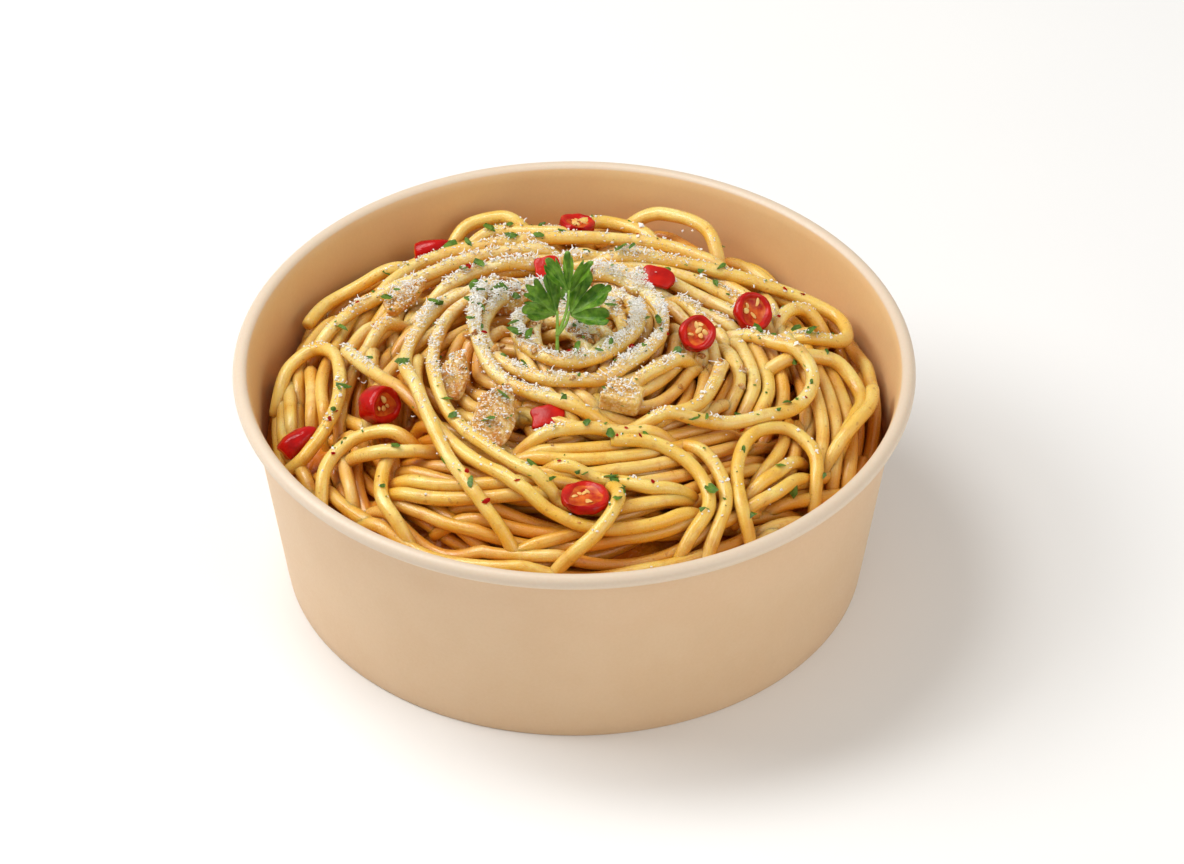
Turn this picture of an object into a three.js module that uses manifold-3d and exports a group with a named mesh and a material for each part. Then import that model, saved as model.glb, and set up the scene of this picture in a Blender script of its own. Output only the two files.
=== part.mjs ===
// A round paper takeaway bowl filled with dressed thick spaghetti, topped with sliced chilli,
// fried garlic, chopped herbs, grated cheese and a parsley sprig.
// Millimetres, +Z up. The origin is the middle of the foot, on the surface that the bowl stands on.
import * as THREE from "three";
import { mergeVertices } from "three/addons/utils/BufferGeometryUtils.js";
import Module from "manifold-3d";

const wasm = await Module();
wasm.setup();

// Driving dimensions
const bowl = {
  rimDiameter: 150,
  footDiameter: 128,
  height: 53,
  board: 0.6, // thickness of the paper board
  rollRadius: 1.7, // the rim is the wall's top edge, rolled outwards
  neckRadius: 71.7, // outside of the wall where the roll comes back to it
  footRing: 1.3, // width of the folded ring that the bowl stands on
  footRecess: 3, // the base disc sits this far above the foot
  sides: 64,
};
const heap = {
  crown: 58.5, // height of the bare mound at its middle
  fall: 19, // how much lower the mound is at edgeRadius
  edgeRadius: 68,
  clearance: 0.5, // gap between the food and the board
  sides: 28,
  rings: 4,
};
const strand = {
  radius: 1.55,
  sides: 5,
  step: 6, // length of one straight stretch of a strand's tube
  spacing: 1.5, // how closely a route is sampled when the strand is laid
  sink: 0.3, // how far a soft strand settles into what it lies on
  stiffness: 40, // rounds of smoothing: more rounds bridge wider gaps
  tuckLength: 9, // a tucked end dives over this length
  tuckDepth: 5,
  pitch: 3.2, // from strand to strand in a bundle
};
const garlicThickness = 1.7; // of a fried slice
const chilliWall = 1.2; // flesh of a chilli, around its seeds
const toppingGap = 0.35; // between a topping and the strands that it is pressed into

const colours = {
  paper: 0xd9b78c,
  noodle: 0xe2b95f,
  chilli: 0xb3130f,
  garlic: 0xd9a45b,
  parsley: 0x3f7d1c,
};

// The heap is laid in this order, so each piece lies on the ones before it.
// "through" is a strand's route seen from above. A bundle has "count" strands side by side,
// "arch" lifts the middle of a strand clear of the heap, and a "cut" strand starts with an end that shows.
const layers = [
  { through: [[-46, 28], [-34, 43], [-17, 48.5], [6, 49.5], [22, 47], [37, 38]] },
  { through: [[-26, 53], [-18, 57], [-6, 55], [4, 53]] },
  { through: [[-3, 57], [6, 61], [14, 58], [20, 51]] },
  { through: [[-29, 56], [-24, 61], [-16, 62], [-10, 58]], arch: 6 },
  { through: [[11, 62], [20, 61], [29, 55], [33, 45]], arch: 6 },
  { through: [[-59.5, 27], [-55, 34], [-46, 39], [-36, 42]], cut: true },
  { through: [[-59, 14], [-48, 27], [-34, 34.5], [-20, 41], [-2, 43]] },
  { through: [[47, 22], [52, 8], [56, -5], [57.5, -17], [56, -29]], count: 3 },
  { through: [[-41, -34], [-33, -39.5], [-22, -42], [-6, -42], [8, -41]], count: 2 },
  { through: [[36, -39], [44, -32], [50, -23]] },
  { through: [[-22, -30], [-8, -28.5], [8, -27], [23, -27]] },
  { through: [[-57.5, 3], [-57.5, -8], [-55, -18], [-50, -30]] },
  { topping: "chilli_tail" },
  { through: [[-66, 1], [-63, 10], [-57, 14], [-52.5, 8], [-51.5, -6], [-54, -19], [-61, -26]] },
  { through: [[40, -1], [50, 3.5], [58, 5], [63, -3], [61, -13], [57, -22]] },
  { through: [[65.5, 1], [65, -8], [61, -17], [54, -26]], cut: true },
  { through: [[2, 37], [20, 38], [36, 36], [50, 33.5], [59, 28], [60, 18], [54, 12], [46, 12.5]] },
  { through: [[42, 13], [45.5, 22.5], [51, 27.5], [57, 23]] },
  { through: [[-47, 9], [-40, 18], [-30, 26], [-19, 33], [-4, 36]] },
  { topping: "chilli_left" },
  { through: [[-38, -23], [-41.5, -33], [-41, -41], [-35, -49]] },
  { through: [[-50, -23], [-45, -28.5], [-37, -30], [-28, -28]] },
  { through: [[-55, -37], [-54, -27], [-48.5, -21.5], [-41, -21.5], [-33, -26]] },
  { through: [[-50.5, 11], [-43, 0], [-36, -9.5], [-30, -18]], cut: true },
  { topping: "garlic_slice" },
  { topping: "garlic_chip" },
  { topping: "garlic_nest" },
  { topping: "chilli_middle" },
  { through: [[-34, 4], [-34, -14], [-27, -28], [-12, -44], [3, -52], [18, -50], [28, -43]] },
  { through: [[-14, 21], [-27, 13], [-31, -4], [-27, -21], [-13, -37.5], [2, -47], [18, -45], [26, -40]] },
  { through: [[-12, 28], [-30, 17], [-37, -2], [-33, -20], [-22.5, -43], [-12, -55]] },
  { through: [[34, -44], [43, -38], [52, -27]] },
  { through: [[37, -21], [35.5, -32], [36, -42], [39, -50]] },
  { through: [[36, -32], [39, -23], [46.5, -19], [52.5, -25], [52, -37]] },
  { through: [[33, 3], [31, -9], [26, -19], [15, -25]] },
  { through: [[12, -13], [20, -7], [27, 1], [28, 10]], cut: true },
  { through: [[22, -26], [30, -33], [32.8, -43], [28, -55]] },
  { through: [[8, -30.5], [18, -30.5], [26.5, -36], [29, -45], [22, -55]], cut: true },
  { through: [[-7, -35], [8, -40], [18, -43], [26, -40]] },
  { topping: "chilli_front" },
  { through: [[8, -41], [9.5, -48], [4, -56], [-5, -59]] },
  { topping: "garlic_cube" },
  { through: [[12, 17], [14, 6], [8, -4], [-1, -8], [-10, -3], [-12.5, 6], [-7, 15]] },
  { through: [[-2, 29], [11, 25], [19, 13], [17, -1], [6, -12], [-7, -13], [-17, -5], [-20, 6], [-15, 18]] },
  { through: [[-19, 21], [-22, 6], [-17, -11], [-3, -20], [15, -24], [34, -22], [49, -12], [51, 0], [33, 13]] },
  { topping: "garlic_back" },
  { topping: "chilli_back_left" },
  { topping: "chilli_back" },
  { topping: "chilli_near_sprig" },
  { topping: "chilli_square" },
  { topping: "chilli_right" },
  { topping: "chilli_ring" },
];

// Where each topping lies, seen from above, and how it is turned, in degrees: tipped towards the front,
// tipped to the right, and spun about its own axis.
const toppings = {
  chilli_ring: { kind: "chilliSlice", at: [27, 5.5], diameter: 8.2, thick: 3, tilt: [38, 6, 20] },
  chilli_right: { kind: "chilliSlice", at: [39.5, 20.5], diameter: 9, thick: 2.6, tilt: [30, 24, 60] },
  chilli_front: { kind: "chilliSlice", at: [2.5, -46.5], diameter: 10.6, thick: 2.8, tilt: [14, 2, 0] },
  chilli_left: { kind: "chilliSlice", at: [-42.5, -13.5], diameter: 8.4, thick: 5.4, tilt: [42, 22, 40] },
  chilli_back: { kind: "chilliSlice", at: [0.5, 57.5], diameter: 8.2, thick: 3, tilt: [-14, 8, 90] },
  chilli_tail: { kind: "chilliTip", at: [-59.5, -16], diameter: 5.6, length: 9, tilt: [-38, 52, 0] },
  chilli_back_left: { kind: "chilliTip", at: [-31.5, 53], diameter: 5.2, length: 8.5, tilt: [0, 78, 0] },
  chilli_middle: { kind: "chilliFlake", at: [-6, -23], length: 7, width: 5, tilt: [24, 0, 10] },
  chilli_near_sprig: { kind: "chilliFlake", at: [-6.2, 33], length: 5.4, width: 5, tilt: [30, 0, 15] },
  chilli_square: { kind: "chilliFlake", at: [18.5, 30], length: 7, width: 5, tilt: [26, 10, -12] },
  garlic_cube: { kind: "garlicCube", at: [10.5, -18], width: 9.4, depth: 6.6, thick: 5, tilt: [16, 6, -10] },
  garlic_slice: { kind: "garlicChip", at: [-17, -23], length: 13, width: 10, tilt: [30, 6, 66] },
  garlic_chip: { kind: "garlicChip", at: [-26, -9.5], length: 10.5, width: 7, tilt: [26, -12, 70] },
  garlic_nest: { kind: "garlicChip", at: [-14.5, 17.5], length: 8, width: 6.4, tilt: [24, 8, 20] },
  garlic_back: { kind: "garlicChip", at: [-38, 26.5], length: 10, width: 5.6, tilt: [20, -16, 30] },
};
const sprig = {
  at: [-3.7, 1.5],
  lean: 54, // degrees that the leaf stands up from lying flat, leaning away from the front
  raise: 1.6, // of the stalk's fork above the strands, so that the leaflets clear them
  buried: 5, // length of stalk pushed down between the strands
  stalkRadius: 0.65,
  leafThickness: 0.5,
  // A leaflet starts at the end of its own stalk. It fans out about its heading, in degrees from straight up.
  leaflets: [
    { from: [0, 4.2], length: 10, spread: 52, heading: 54, curl: 0.012 },
    { from: [3.2, 9.6], length: 9, spread: 40, heading: 2, curl: 0.004 },
    { from: [3, 4.2], length: 11, spread: 60, heading: -50, curl: 0.016 },
  ],
  lobes: 3,
  teeth: 6, // outline points along one lobe
};
// Chopped herbs and cheese large enough to see from a step away, scattered by a spiral rule.
const herbs = { count: 16, length: 3.2, width: 1.7, thick: 0.7, reach: 58 };
const cheese = { count: 12, length: 3.4, width: 1, thick: 0.9, reach: 30 };
const goldenAngle = Math.PI * (3 - Math.sqrt(5));

// Solids and meshes
function solidFrom(geometry) {
  const bare = geometry.clone();
  bare.deleteAttribute("normal");
  bare.deleteAttribute("uv");
  const merged = mergeVertices(bare, 1e-4);
  const corners = merged.index.array;
  const kept = [];
  for (let i = 0; i < corners.length; i += 3) {
    const [a, b, c] = corners.slice(i, i + 3);
    if (a !== b && b !== c && c !== a) kept.push(a, b, c);
  }
  return new wasm.Manifold(
    new wasm.Mesh({
      numProp: 3,
      vertProperties: merged.attributes.position.array,
      triVerts: new Uint32Array(kept),
    }),
  );
}

function geometryFrom(solid) {
  const { vertProperties, triVerts } = solid.getMesh();
  const geometry = new THREE.BufferGeometry();
  geometry.setAttribute("position", new THREE.BufferAttribute(vertProperties, 3));
  geometry.setIndex(new THREE.BufferAttribute(triVerts, 1));
  geometry.computeVertexNormals();
  return geometry;
}

function join(...solids) {
  return solids.reduce((whole, solid) => whole.add(solid));
}

// A closed outline of [radius, height] points, from the axis and back to it, turned about Z.
function turned(outline, sides) {
  const points = outline.map(([radius, height]) => new THREE.Vector2(radius, height));
  return new THREE.LatheGeometry(points, sides).rotateX(Math.PI / 2);
}

function tube(points, radius, sides, steps) {
  const section = new THREE.Shape();
  for (let i = 0; i < sides; i++) {
    const angle = (2 * Math.PI * i) / sides;
    const [x, y] = [radius * Math.cos(angle), radius * Math.sin(angle)];
    if (i) section.lineTo(x, y);
    else section.moveTo(x, y);
  }
  const extrudePath = new THREE.CatmullRomCurve3(points);
  return new THREE.ExtrudeGeometry(section, { steps, extrudePath, bevelEnabled: false });
}

// The bowl: one turned solid of board, with a rolled rim and a recessed base
const neckHeight = bowl.height - 2 * bowl.rollRadius;
const floorHeight = bowl.footRecess + bowl.board;

function wallRadius(height) {
  const footRadius = bowl.footDiameter / 2;
  return footRadius + ((bowl.neckRadius - footRadius) * height) / neckHeight;
}

function insideRadius(height) {
  return wallRadius(height) - bowl.board;
}

function bowlOutline() {
  const footRadius = bowl.footDiameter / 2;
  const ringRadius = footRadius - bowl.footRing;
  const rollCentre = [bowl.rimDiameter / 2 - bowl.rollRadius, bowl.height - bowl.rollRadius];
  const roll = [];
  for (let degrees = -135; degrees <= 135; degrees += 45) {
    const angle = THREE.MathUtils.degToRad(degrees);
    roll.push([
      rollCentre[0] + bowl.rollRadius * Math.cos(angle),
      rollCentre[1] + bowl.rollRadius * Math.sin(angle),
    ]);
  }
  return [
    [0, bowl.footRecess],
    [ringRadius, bowl.footRecess],
    [ringRadius, 0],
    [footRadius, 0],
    [wallRadius(neckHeight), neckHeight],
    ...roll,
    [insideRadius(neckHeight), neckHeight],
    [insideRadius(floorHeight), floorHeight],
    [0, floorHeight],
  ];
}

// The heap's upper surface, kept as heights on a square grid while the pieces are laid on it
const cell = 0.5;
const halfGrid = bowl.rimDiameter / 2;
const gridSize = Math.round((2 * halfGrid) / cell) + 1;
const surface = new Float32Array(gridSize * gridSize);

function moundHeight(x, y) {
  return heap.crown - heap.fall * ((x * x + y * y) / heap.edgeRadius ** 2);
}

function gridPlace(index) {
  return [(index % gridSize) * cell - halfGrid, Math.floor(index / gridSize) * cell - halfGrid];
}

surface.forEach((_, index) => {
  surface[index] = moundHeight(...gridPlace(index));
});

// Calls visit(index, squared distance) for each grid point within the radius.
function nearby(x, y, radius, visit) {
  const reach = Math.ceil(radius / cell);
  const column = Math.round((x + halfGrid) / cell);
  const row = Math.round((y + halfGrid) / cell);
  for (let j = Math.max(0, row - reach); j <= Math.min(gridSize - 1, row + reach); j++) {
    for (let i = Math.max(0, column - reach); i <= Math.min(gridSize - 1, column + reach); i++) {
      const index = j * gridSize + i;
      const [gridX, gridY] = gridPlace(index);
      const squared = (gridX - x) ** 2 + (gridY - y) ** 2;
      if (squared < radius * radius) visit(index, squared);
    }
  }
}

// The lowest centre height at which a ball clears everything laid so far
function restingHeight(x, y, radius) {
  let height = moundHeight(x, y);
  nearby(x, y, radius, (index, squared) => {
    height = Math.max(height, surface[index] + Math.sqrt(radius * radius - squared));
  });
  return height;
}

function raiseSurface(x, y, radius, height) {
  nearby(x, y, radius, (index, squared) => {
    surface[index] = Math.max(surface[index], height + Math.sqrt(radius * radius - squared));
  });
}

function surfaceHeight(x, y, radius) {
  let [sum, count] = [0, 0];
  nearby(x, y, radius, (index) => {
    sum += surface[index];
    count += 1;
  });
  return sum / count;
}

// Strands
// Smooths the heights of a strand without letting it drop into what it rests on.
function drape(rest) {
  const heights = [...rest];
  for (let round = 0; round < strand.stiffness; round++) {
    for (let i = 1; i < heights.length - 1; i++) {
      const level = (heights[i - 1] + heights[i + 1]) / 2;
      heights[i] = Math.max(rest[i], (heights[i] + level) / 2);
    }
  }
  return heights;
}

// The plan route of one strand of a bundle, pushed sideways and kept inside the wall
function planRoute(through, sideways) {
  const curve = new THREE.SplineCurve(through.map(([x, y]) => new THREE.Vector2(x, y)));
  const count = Math.ceil(curve.getLength() / strand.spacing);
  return curve.getSpacedPoints(count).map((point, i) => {
    const along = curve.getTangentAt(i / count);
    const moved = point.clone().add(new THREE.Vector2(-along.y, along.x).multiplyScalar(sideways));
    const limit = insideRadius(moundHeight(moved.x, moved.y)) - strand.radius - heap.clearance;
    return moved.clampLength(0, limit);
  });
}

function layStrand({ through, arch = 0, cut = false }, sideways) {
  const route = planRoute(through, sideways);
  const last = route.length - 1;
  const rest = route.map(({ x, y }) => restingHeight(x, y, strand.radius) - strand.sink);
  const heights = drape(rest).map((height, i) => {
    const fromStart = cut ? Infinity : i * strand.spacing;
    const fromEnd = (last - i) * strand.spacing;
    const inside = Math.min(1, Math.min(fromStart, fromEnd) / strand.tuckLength);
    return height - strand.tuckDepth * (1 - inside) ** 2 + arch * Math.sin((Math.PI * i) / last);
  });
  route.forEach(({ x, y }, i) => raiseSurface(x, y, strand.radius, heights[i]));
  const points = route.map(({ x, y }, i) => new THREE.Vector3(x, y, heights[i]));
  const steps = Math.ceil((last * strand.spacing) / strand.step);
  return solidFrom(tube(points, strand.radius, strand.sides, steps));
}

// Toppings, each about its own middle
function chilliSlice({ diameter, thick }) {
  const [radius, wall, web] = [diameter / 2, chilliWall, thick * 0.45];
  const ring = turned(
    [
      [0, -web / 2],
      [radius - wall, -web / 2],
      [radius - wall * 0.8, -thick / 2],
      [radius * 0.95, -thick / 2],
      [radius, 0],
      [radius * 0.95, thick / 2],
      [radius - wall * 0.8, thick / 2],
      [radius - wall, web / 2],
      [0, web / 2],
    ],
    10,
  );
  const seeds = [0, 1].map((i) => {
    const turn = i * goldenAngle;
    const [x, y] = [radius * 0.36 * Math.cos(turn), radius * 0.36 * Math.sin(turn)];
    const seed = new THREE.SphereGeometry(1, 5, 3).scale(1, 0.65, 0.5).rotateZ(2 * turn);
    return solidFrom(seed.translate(x, y, web / 2));
  });
  return join(solidFrom(ring), ...seeds);
}

function chilliTip({ diameter, length }) {
  const radius = diameter / 2;
  const outline = [
    [0, -length / 2],
    [radius * 0.72, -length * 0.5],
    [radius, -length * 0.2],
    [radius * 0.82, length * 0.16],
    [radius * 0.42, length * 0.42],
    [0, length / 2],
  ];
  return solidFrom(turned(outline, 9));
}

function outlineShape(length, width, sides, unevenness) {
  const shape = new THREE.Shape();
  for (let i = 0; i < sides; i++) {
    const angle = (2 * Math.PI * i) / sides;
    const swell = 1 + unevenness * Math.sin(2 * angle + 0.6) + unevenness * 0.6 * Math.cos(3 * angle);
    const [x, y] = [(length / 2) * swell * Math.cos(angle), (width / 2) * swell * Math.sin(angle)];
    if (i) shape.lineTo(x, y);
    else shape.moveTo(x, y);
  }
  return shape;
}

// A flat piece of even thickness with a softened edge, bent like a shallow trough
function slab(shape, thick, edge, bend) {
  const depth = thick - 2 * edge;
  const bevel = { bevelThickness: edge, bevelSize: edge, bevelOffset: -edge, bevelSegments: 1 };
  const geometry = new THREE.ExtrudeGeometry(shape, { depth, ...bevel }).translate(0, 0, -depth / 2);
  const places = geometry.attributes.position;
  for (let i = 0; i < places.count; i++) {
    places.setZ(i, places.getZ(i) + bend * places.getX(i) ** 2);
  }
  return solidFrom(geometry);
}

function chilliFlake({ length, width }) {
  return slab(outlineShape(length, width, 8, 0.09), 1.6, 0.3, -0.04);
}

function garlicChip({ length, width }) {
  return slab(outlineShape(length, width, 12, 0.1), garlicThickness, 0.4, 0.018);
}

function garlicCube({ width, depth, thick }) {
  const shape = new THREE.Shape();
  shape.moveTo(-width * 0.5, -depth * 0.42);
  shape.lineTo(width * 0.42, -depth * 0.5);
  shape.lineTo(width * 0.5, depth * 0.28);
  shape.lineTo(width * 0.08, depth * 0.5);
  shape.lineTo(-width * 0.3, depth * 0.4);
  return slab(shape, thick, 0.6, 0);
}

const makers = { chilliSlice, chilliTip, chilliFlake, garlicChip, garlicCube };

function finish(name) {
  const roughness = name === "paper" ? 0.75 : 0.45;
  return new THREE.MeshStandardMaterial({ color: colours[name], roughness, metalness: 0 });
}

function layTopping(name) {
  const size = toppings[name];
  const [x, y] = size.at;
  const radius = (size.diameter ?? size.width) / 2;
  const material = finish(size.kind.startsWith("chilli") ? "chilli" : "garlic");
  const mesh = new THREE.Mesh(geometryFrom(makers[size.kind](size)), material);
  mesh.name = name;
  mesh.rotation.set(...size.tilt.map(THREE.MathUtils.degToRad));
  const lift = (size.thick ?? size.diameter ?? garlicThickness) * 0.3;
  mesh.position.set(x, y, surfaceHeight(x, y, radius) + lift);
  mesh.updateMatrix();
  raiseSurface(x, y, radius, mesh.position.z);
  return mesh;
}

// The space that a topping takes up in the strands: its own shape, swollen by the gap, with no recess
function hollowFor(mesh) {
  const { kind, diameter, thick } = toppings[mesh.name];
  if (kind === "chilliSlice") {
    const [radius, half] = [diameter / 2 + toppingGap, thick / 2 + toppingGap];
    const disc = turned([[0, -half], [radius, -half], [radius, half], [0, half]], 12);
    return solidFrom(disc.applyMatrix4(mesh.matrix));
  }
  const box = new THREE.Box3().setFromBufferAttribute(mesh.geometry.attributes.position);
  const size = box.getSize(new THREE.Vector3());
  const swell = size.clone().addScalar(2 * toppingGap).divide(size);
  return solidFrom(mesh.geometry.clone().scale(swell.x, swell.y, swell.z).applyMatrix4(mesh.matrix));
}

// The parsley sprig: three lobed leaflets, thin and wavy, each on its own stalk
function leaflet({ from, length, spread, heading, curl }) {
  const count = sprig.lobes * sprig.teeth;
  const halfSpread = THREE.MathUtils.degToRad(spread);
  const shape = new THREE.Shape();
  shape.moveTo(0, -sprig.stalkRadius);
  for (let i = 0; i <= count; i++) {
    const share = i / count;
    const angle = halfSpread * (2 * share - 1);
    const lobe = Math.abs(Math.sin(Math.PI * sprig.lobes * share)) ** 0.6;
    const tooth = i % 2 ? 0.93 : 1;
    const reach = length * (0.7 + 0.3 * Math.cos(angle)) * (0.5 + 0.5 * lobe) * tooth;
    shape.lineTo(reach * Math.sin(angle), reach * Math.cos(angle));
  }
  const geometry = new THREE.ExtrudeGeometry(shape, { depth: sprig.leafThickness, bevelEnabled: false });
  const places = geometry.attributes.position;
  for (let i = 0; i < places.count; i++) {
    const [x, y] = [places.getX(i), places.getY(i)];
    places.setZ(i, places.getZ(i) + curl * (x * x + y * y) + 0.35 * Math.sin(0.9 * x + 0.4 * y));
  }
  geometry.rotateZ(THREE.MathUtils.degToRad(heading)).translate(...from, 0);
  return solidFrom(geometry);
}

// A stalk runs from the fork to a leaflet. The main stalk runs down from the fork, between the strands.
function stalk([x, y], radius) {
  const points = [
    new THREE.Vector3(0, -radius, 0),
    new THREE.Vector3(x * 0.75, y * 0.55, 0.1),
    new THREE.Vector3(x, y + radius, 0.25),
  ];
  return tube(points, radius, 5, 2);
}

function mainStalk(radius) {
  return tube([new THREE.Vector3(0, -sprig.buried, 0), new THREE.Vector3(0, radius, 0)], radius, 5, 1);
}

function laySprig() {
  const { at, lean, leaflets, stalkRadius, raise } = sprig;
  const stalks = leaflets.map(({ from }) => solidFrom(stalk(from, stalkRadius * 0.85)));
  const whole = join(solidFrom(mainStalk(stalkRadius)), ...stalks, ...leaflets.map(leaflet));
  const mesh = new THREE.Mesh(geometryFrom(whole), finish("parsley"));
  mesh.name = "parsley_sprig";
  mesh.rotation.x = THREE.MathUtils.degToRad(lean);
  mesh.position.set(...at, surfaceHeight(...at, 2) + raise);
  mesh.updateMatrix();
  return mesh;
}

// Chopped herbs and shreds of cheese, fused to the strands that they lie on
function scatter({ count, length, width, thick, reach }) {
  const pieces = [];
  for (let i = 0; i < count; i++) {
    const radius = reach * Math.sqrt((i + 0.5) / count);
    const angle = i * goldenAngle;
    const [x, y] = [radius * Math.cos(angle), radius * Math.sin(angle)];
    const height = surfaceHeight(x, y, width);
    const slope = (2 * heap.fall * radius) / heap.edgeRadius ** 2;
    const piece = new THREE.BoxGeometry(length, width, thick)
      .rotateZ(angle * 2.3)
      .rotateY(Math.atan(slope) * Math.cos(angle))
      .rotateX(-Math.atan(slope) * Math.sin(angle))
      .translate(x, y, height);
    pieces.push({ x, y, solid: solidFrom(piece) });
  }
  return pieces;
}

// The core that the strands lie on, filling the bowl
function core() {
  const outline = [[0, floorHeight + heap.clearance]];
  const edge = heap.edgeRadius;
  const edgeHeight = moundHeight(edge, 0);
  outline.push([insideRadius(floorHeight) - 2 * heap.clearance, floorHeight + heap.clearance]);
  outline.push([insideRadius(edgeHeight) - 2 * heap.clearance, edgeHeight]);
  for (let i = heap.rings - 1; i > 0; i--) {
    const radius = (edge * i) / heap.rings;
    outline.push([radius, moundHeight(radius, 0)]);
  }
  outline.push([0, heap.crown]);
  return solidFrom(turned(outline, heap.sides));
}

// Assembly
const part = new THREE.Group();

const bowlMesh = new THREE.Mesh(geometryFrom(solidFrom(turned(bowlOutline(), bowl.sides))), finish("paper"));
bowlMesh.name = "bowl";
part.add(bowlMesh);

const strands = [];
const laid = [];
for (const layer of layers) {
  if (layer.topping) {
    laid.push(layTopping(layer.topping));
    continue;
  }
  const count = layer.count ?? 1;
  for (let i = 0; i < count; i++) {
    strands.push(layStrand(layer, (i - (count - 1) / 2) * strand.pitch));
  }
}
const sprigMesh = laySprig();
const stalkHollow = solidFrom(mainStalk(sprig.stalkRadius + 2 * toppingGap).applyMatrix4(sprigMesh.matrix));
const clearOf = ({ x, y }) => laid.every(({ position }) => Math.hypot(position.x - x, position.y - y) > 8);
const crumbs = [...scatter(herbs), ...scatter(cheese)].filter(clearOf).map((piece) => piece.solid);

let noodles = join(core(), ...strands, ...crumbs);
for (const hollow of [...laid.map(hollowFor), stalkHollow]) noodles = noodles.subtract(hollow);
const [heapSolid] = noodles.decompose().sort((a, b) => b.volume() - a.volume());
const noodleMesh = new THREE.Mesh(geometryFrom(heapSolid), finish("noodle"));
noodleMesh.name = "noodles";

part.add(noodleMesh, ...laid, sprigMesh);

export default part;
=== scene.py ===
from math import atan2, ceil, cos, exp, hypot, pi, radians, sin

import bmesh
import bpy
import numpy as np
from mathutils import Euler, Matrix, Vector, noise
from mathutils.bvhtree import BVHTree


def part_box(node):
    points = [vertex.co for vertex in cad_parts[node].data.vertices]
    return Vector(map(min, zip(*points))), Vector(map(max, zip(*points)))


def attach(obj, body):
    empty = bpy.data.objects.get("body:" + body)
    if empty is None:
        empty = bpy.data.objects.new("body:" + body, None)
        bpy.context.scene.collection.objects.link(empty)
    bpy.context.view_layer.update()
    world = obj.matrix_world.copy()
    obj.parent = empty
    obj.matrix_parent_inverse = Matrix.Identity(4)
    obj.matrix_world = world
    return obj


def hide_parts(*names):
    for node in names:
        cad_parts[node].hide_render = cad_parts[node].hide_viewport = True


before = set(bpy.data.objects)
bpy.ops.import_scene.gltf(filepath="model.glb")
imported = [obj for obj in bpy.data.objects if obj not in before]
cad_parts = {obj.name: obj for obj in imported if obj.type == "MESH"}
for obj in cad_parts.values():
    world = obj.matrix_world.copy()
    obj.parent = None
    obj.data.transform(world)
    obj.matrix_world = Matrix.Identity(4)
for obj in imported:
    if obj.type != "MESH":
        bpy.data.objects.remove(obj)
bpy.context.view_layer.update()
scene = bpy.context.scene
mm = 0.001  # shapes are made in millimetres and scaled to metres when they become meshes
rng = np.random.default_rng(12)
noise.seed_set(12)

# camera, light and floor
view = {
    "target": (3.9, 0, 33.6),  # the point in the middle of the picture
    "pitch": 38.6,  # degrees that the camera looks down
    "distance": 1908,
    "lens": 262.7,
    "clipStart": 10,
}
studio = {
    "aim": (0, 0, 45),
    "world": {"Color": (1, 0.97, 0.92, 1), "Strength": 0.44},
    "floorSize": 6000,
    "lamps": {
        "key": {"at": (-640, 60, 680), "size": 480, "power": 4.3, "colour": (0.98, 0.99, 1)},
        "fill": {"at": (620, -480, 460), "size": 700, "power": 2.3, "colour": (1, 0.98, 0.96)},
        "top": {"at": (-330, 190, 980), "size": 420, "power": 3.8, "colour": (1, 0.98, 0.95)},
    },
}


def addObject(name, data):
    item = bpy.data.objects.new(name, data)
    scene.collection.objects.link(item)
    return item


def addCamera():
    pitch = radians(view["pitch"])
    away = Vector((0, -cos(pitch), sin(pitch)))
    camera = addObject("camera", bpy.data.cameras.new("camera"))
    camera.location = (Vector(view["target"]) + away * view["distance"]) * mm
    camera.rotation_euler = (pi / 2 - pitch, 0, 0)
    camera.data.lens = view["lens"]
    camera.data.clip_start = view["clipStart"] * mm
    scene.camera = camera


def addLight():
    for name, lamp in studio["lamps"].items():
        light = bpy.data.lights.new(name, "AREA")
        light.shape = "DISK"
        light.size = lamp["size"] * mm
        light.energy = lamp["power"]
        light.color = lamp["colour"]
        holder = addObject(name, light)
        holder.location = Vector(lamp["at"]) * mm
        aim = Vector(studio["aim"]) * mm - holder.location
        holder.rotation_euler = aim.to_track_quat("-Z", "Y").to_euler()
    world = bpy.data.worlds.new("studio")
    world.use_nodes = True
    setInputs(world.node_tree, world.node_tree.nodes["Background"], studio["world"])
    scene.world = world
    scene.view_settings.view_transform = "Standard"


def addFloor():
    bm = bmesh.new()
    bmesh.ops.create_grid(bm, x_segments=2, y_segments=2, size=studio["floorSize"])
    mesh = meshFromBmesh(bm)
    material, tree, shader = newMaterial("floor")
    shade = mixColours(tree, cloud(tree, 200), (0.9, 0.9, 0.9, 1), (0.92, 0.92, 0.915, 1))
    setInputs(tree, shader, {"Base Color": shade, "Roughness": 0.7})
    mesh.materials.append(material)
    floor = addObject("floor", mesh)


# meshes
def meshPiece(name, mesh, materials, nodes=("noodles",), smooth=True):
    piece = addObject(name, mesh)
    mesh.name = name
    for material in materials:
        mesh.materials.append(material)
    mesh.polygons.foreach_set("use_smooth", [smooth] * len(mesh.polygons))
    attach(piece, "root")
    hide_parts(*nodes)
    print(name, len(mesh.polygons), "faces")
    return piece


def meshFromBmesh(bm):
    bmesh.ops.recalc_face_normals(bm, faces=bm.faces)
    bmesh.ops.scale(bm, vec=(mm, mm, mm), verts=bm.verts)
    mesh = bpy.data.meshes.new("shape")
    bm.to_mesh(mesh)
    bm.free()
    return mesh


def meshFromLists(verts, faces):
    mesh = bpy.data.meshes.new("shape")
    mesh.from_pydata((np.array(verts) * mm).tolist(), [], faces)
    mesh.update()
    return mesh


def setAttribute(mesh, name, values):
    attribute = mesh.attributes.new(name, "FLOAT", "POINT")
    attribute.data.foreach_set("value", np.asarray(values, dtype=np.float32))


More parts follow.
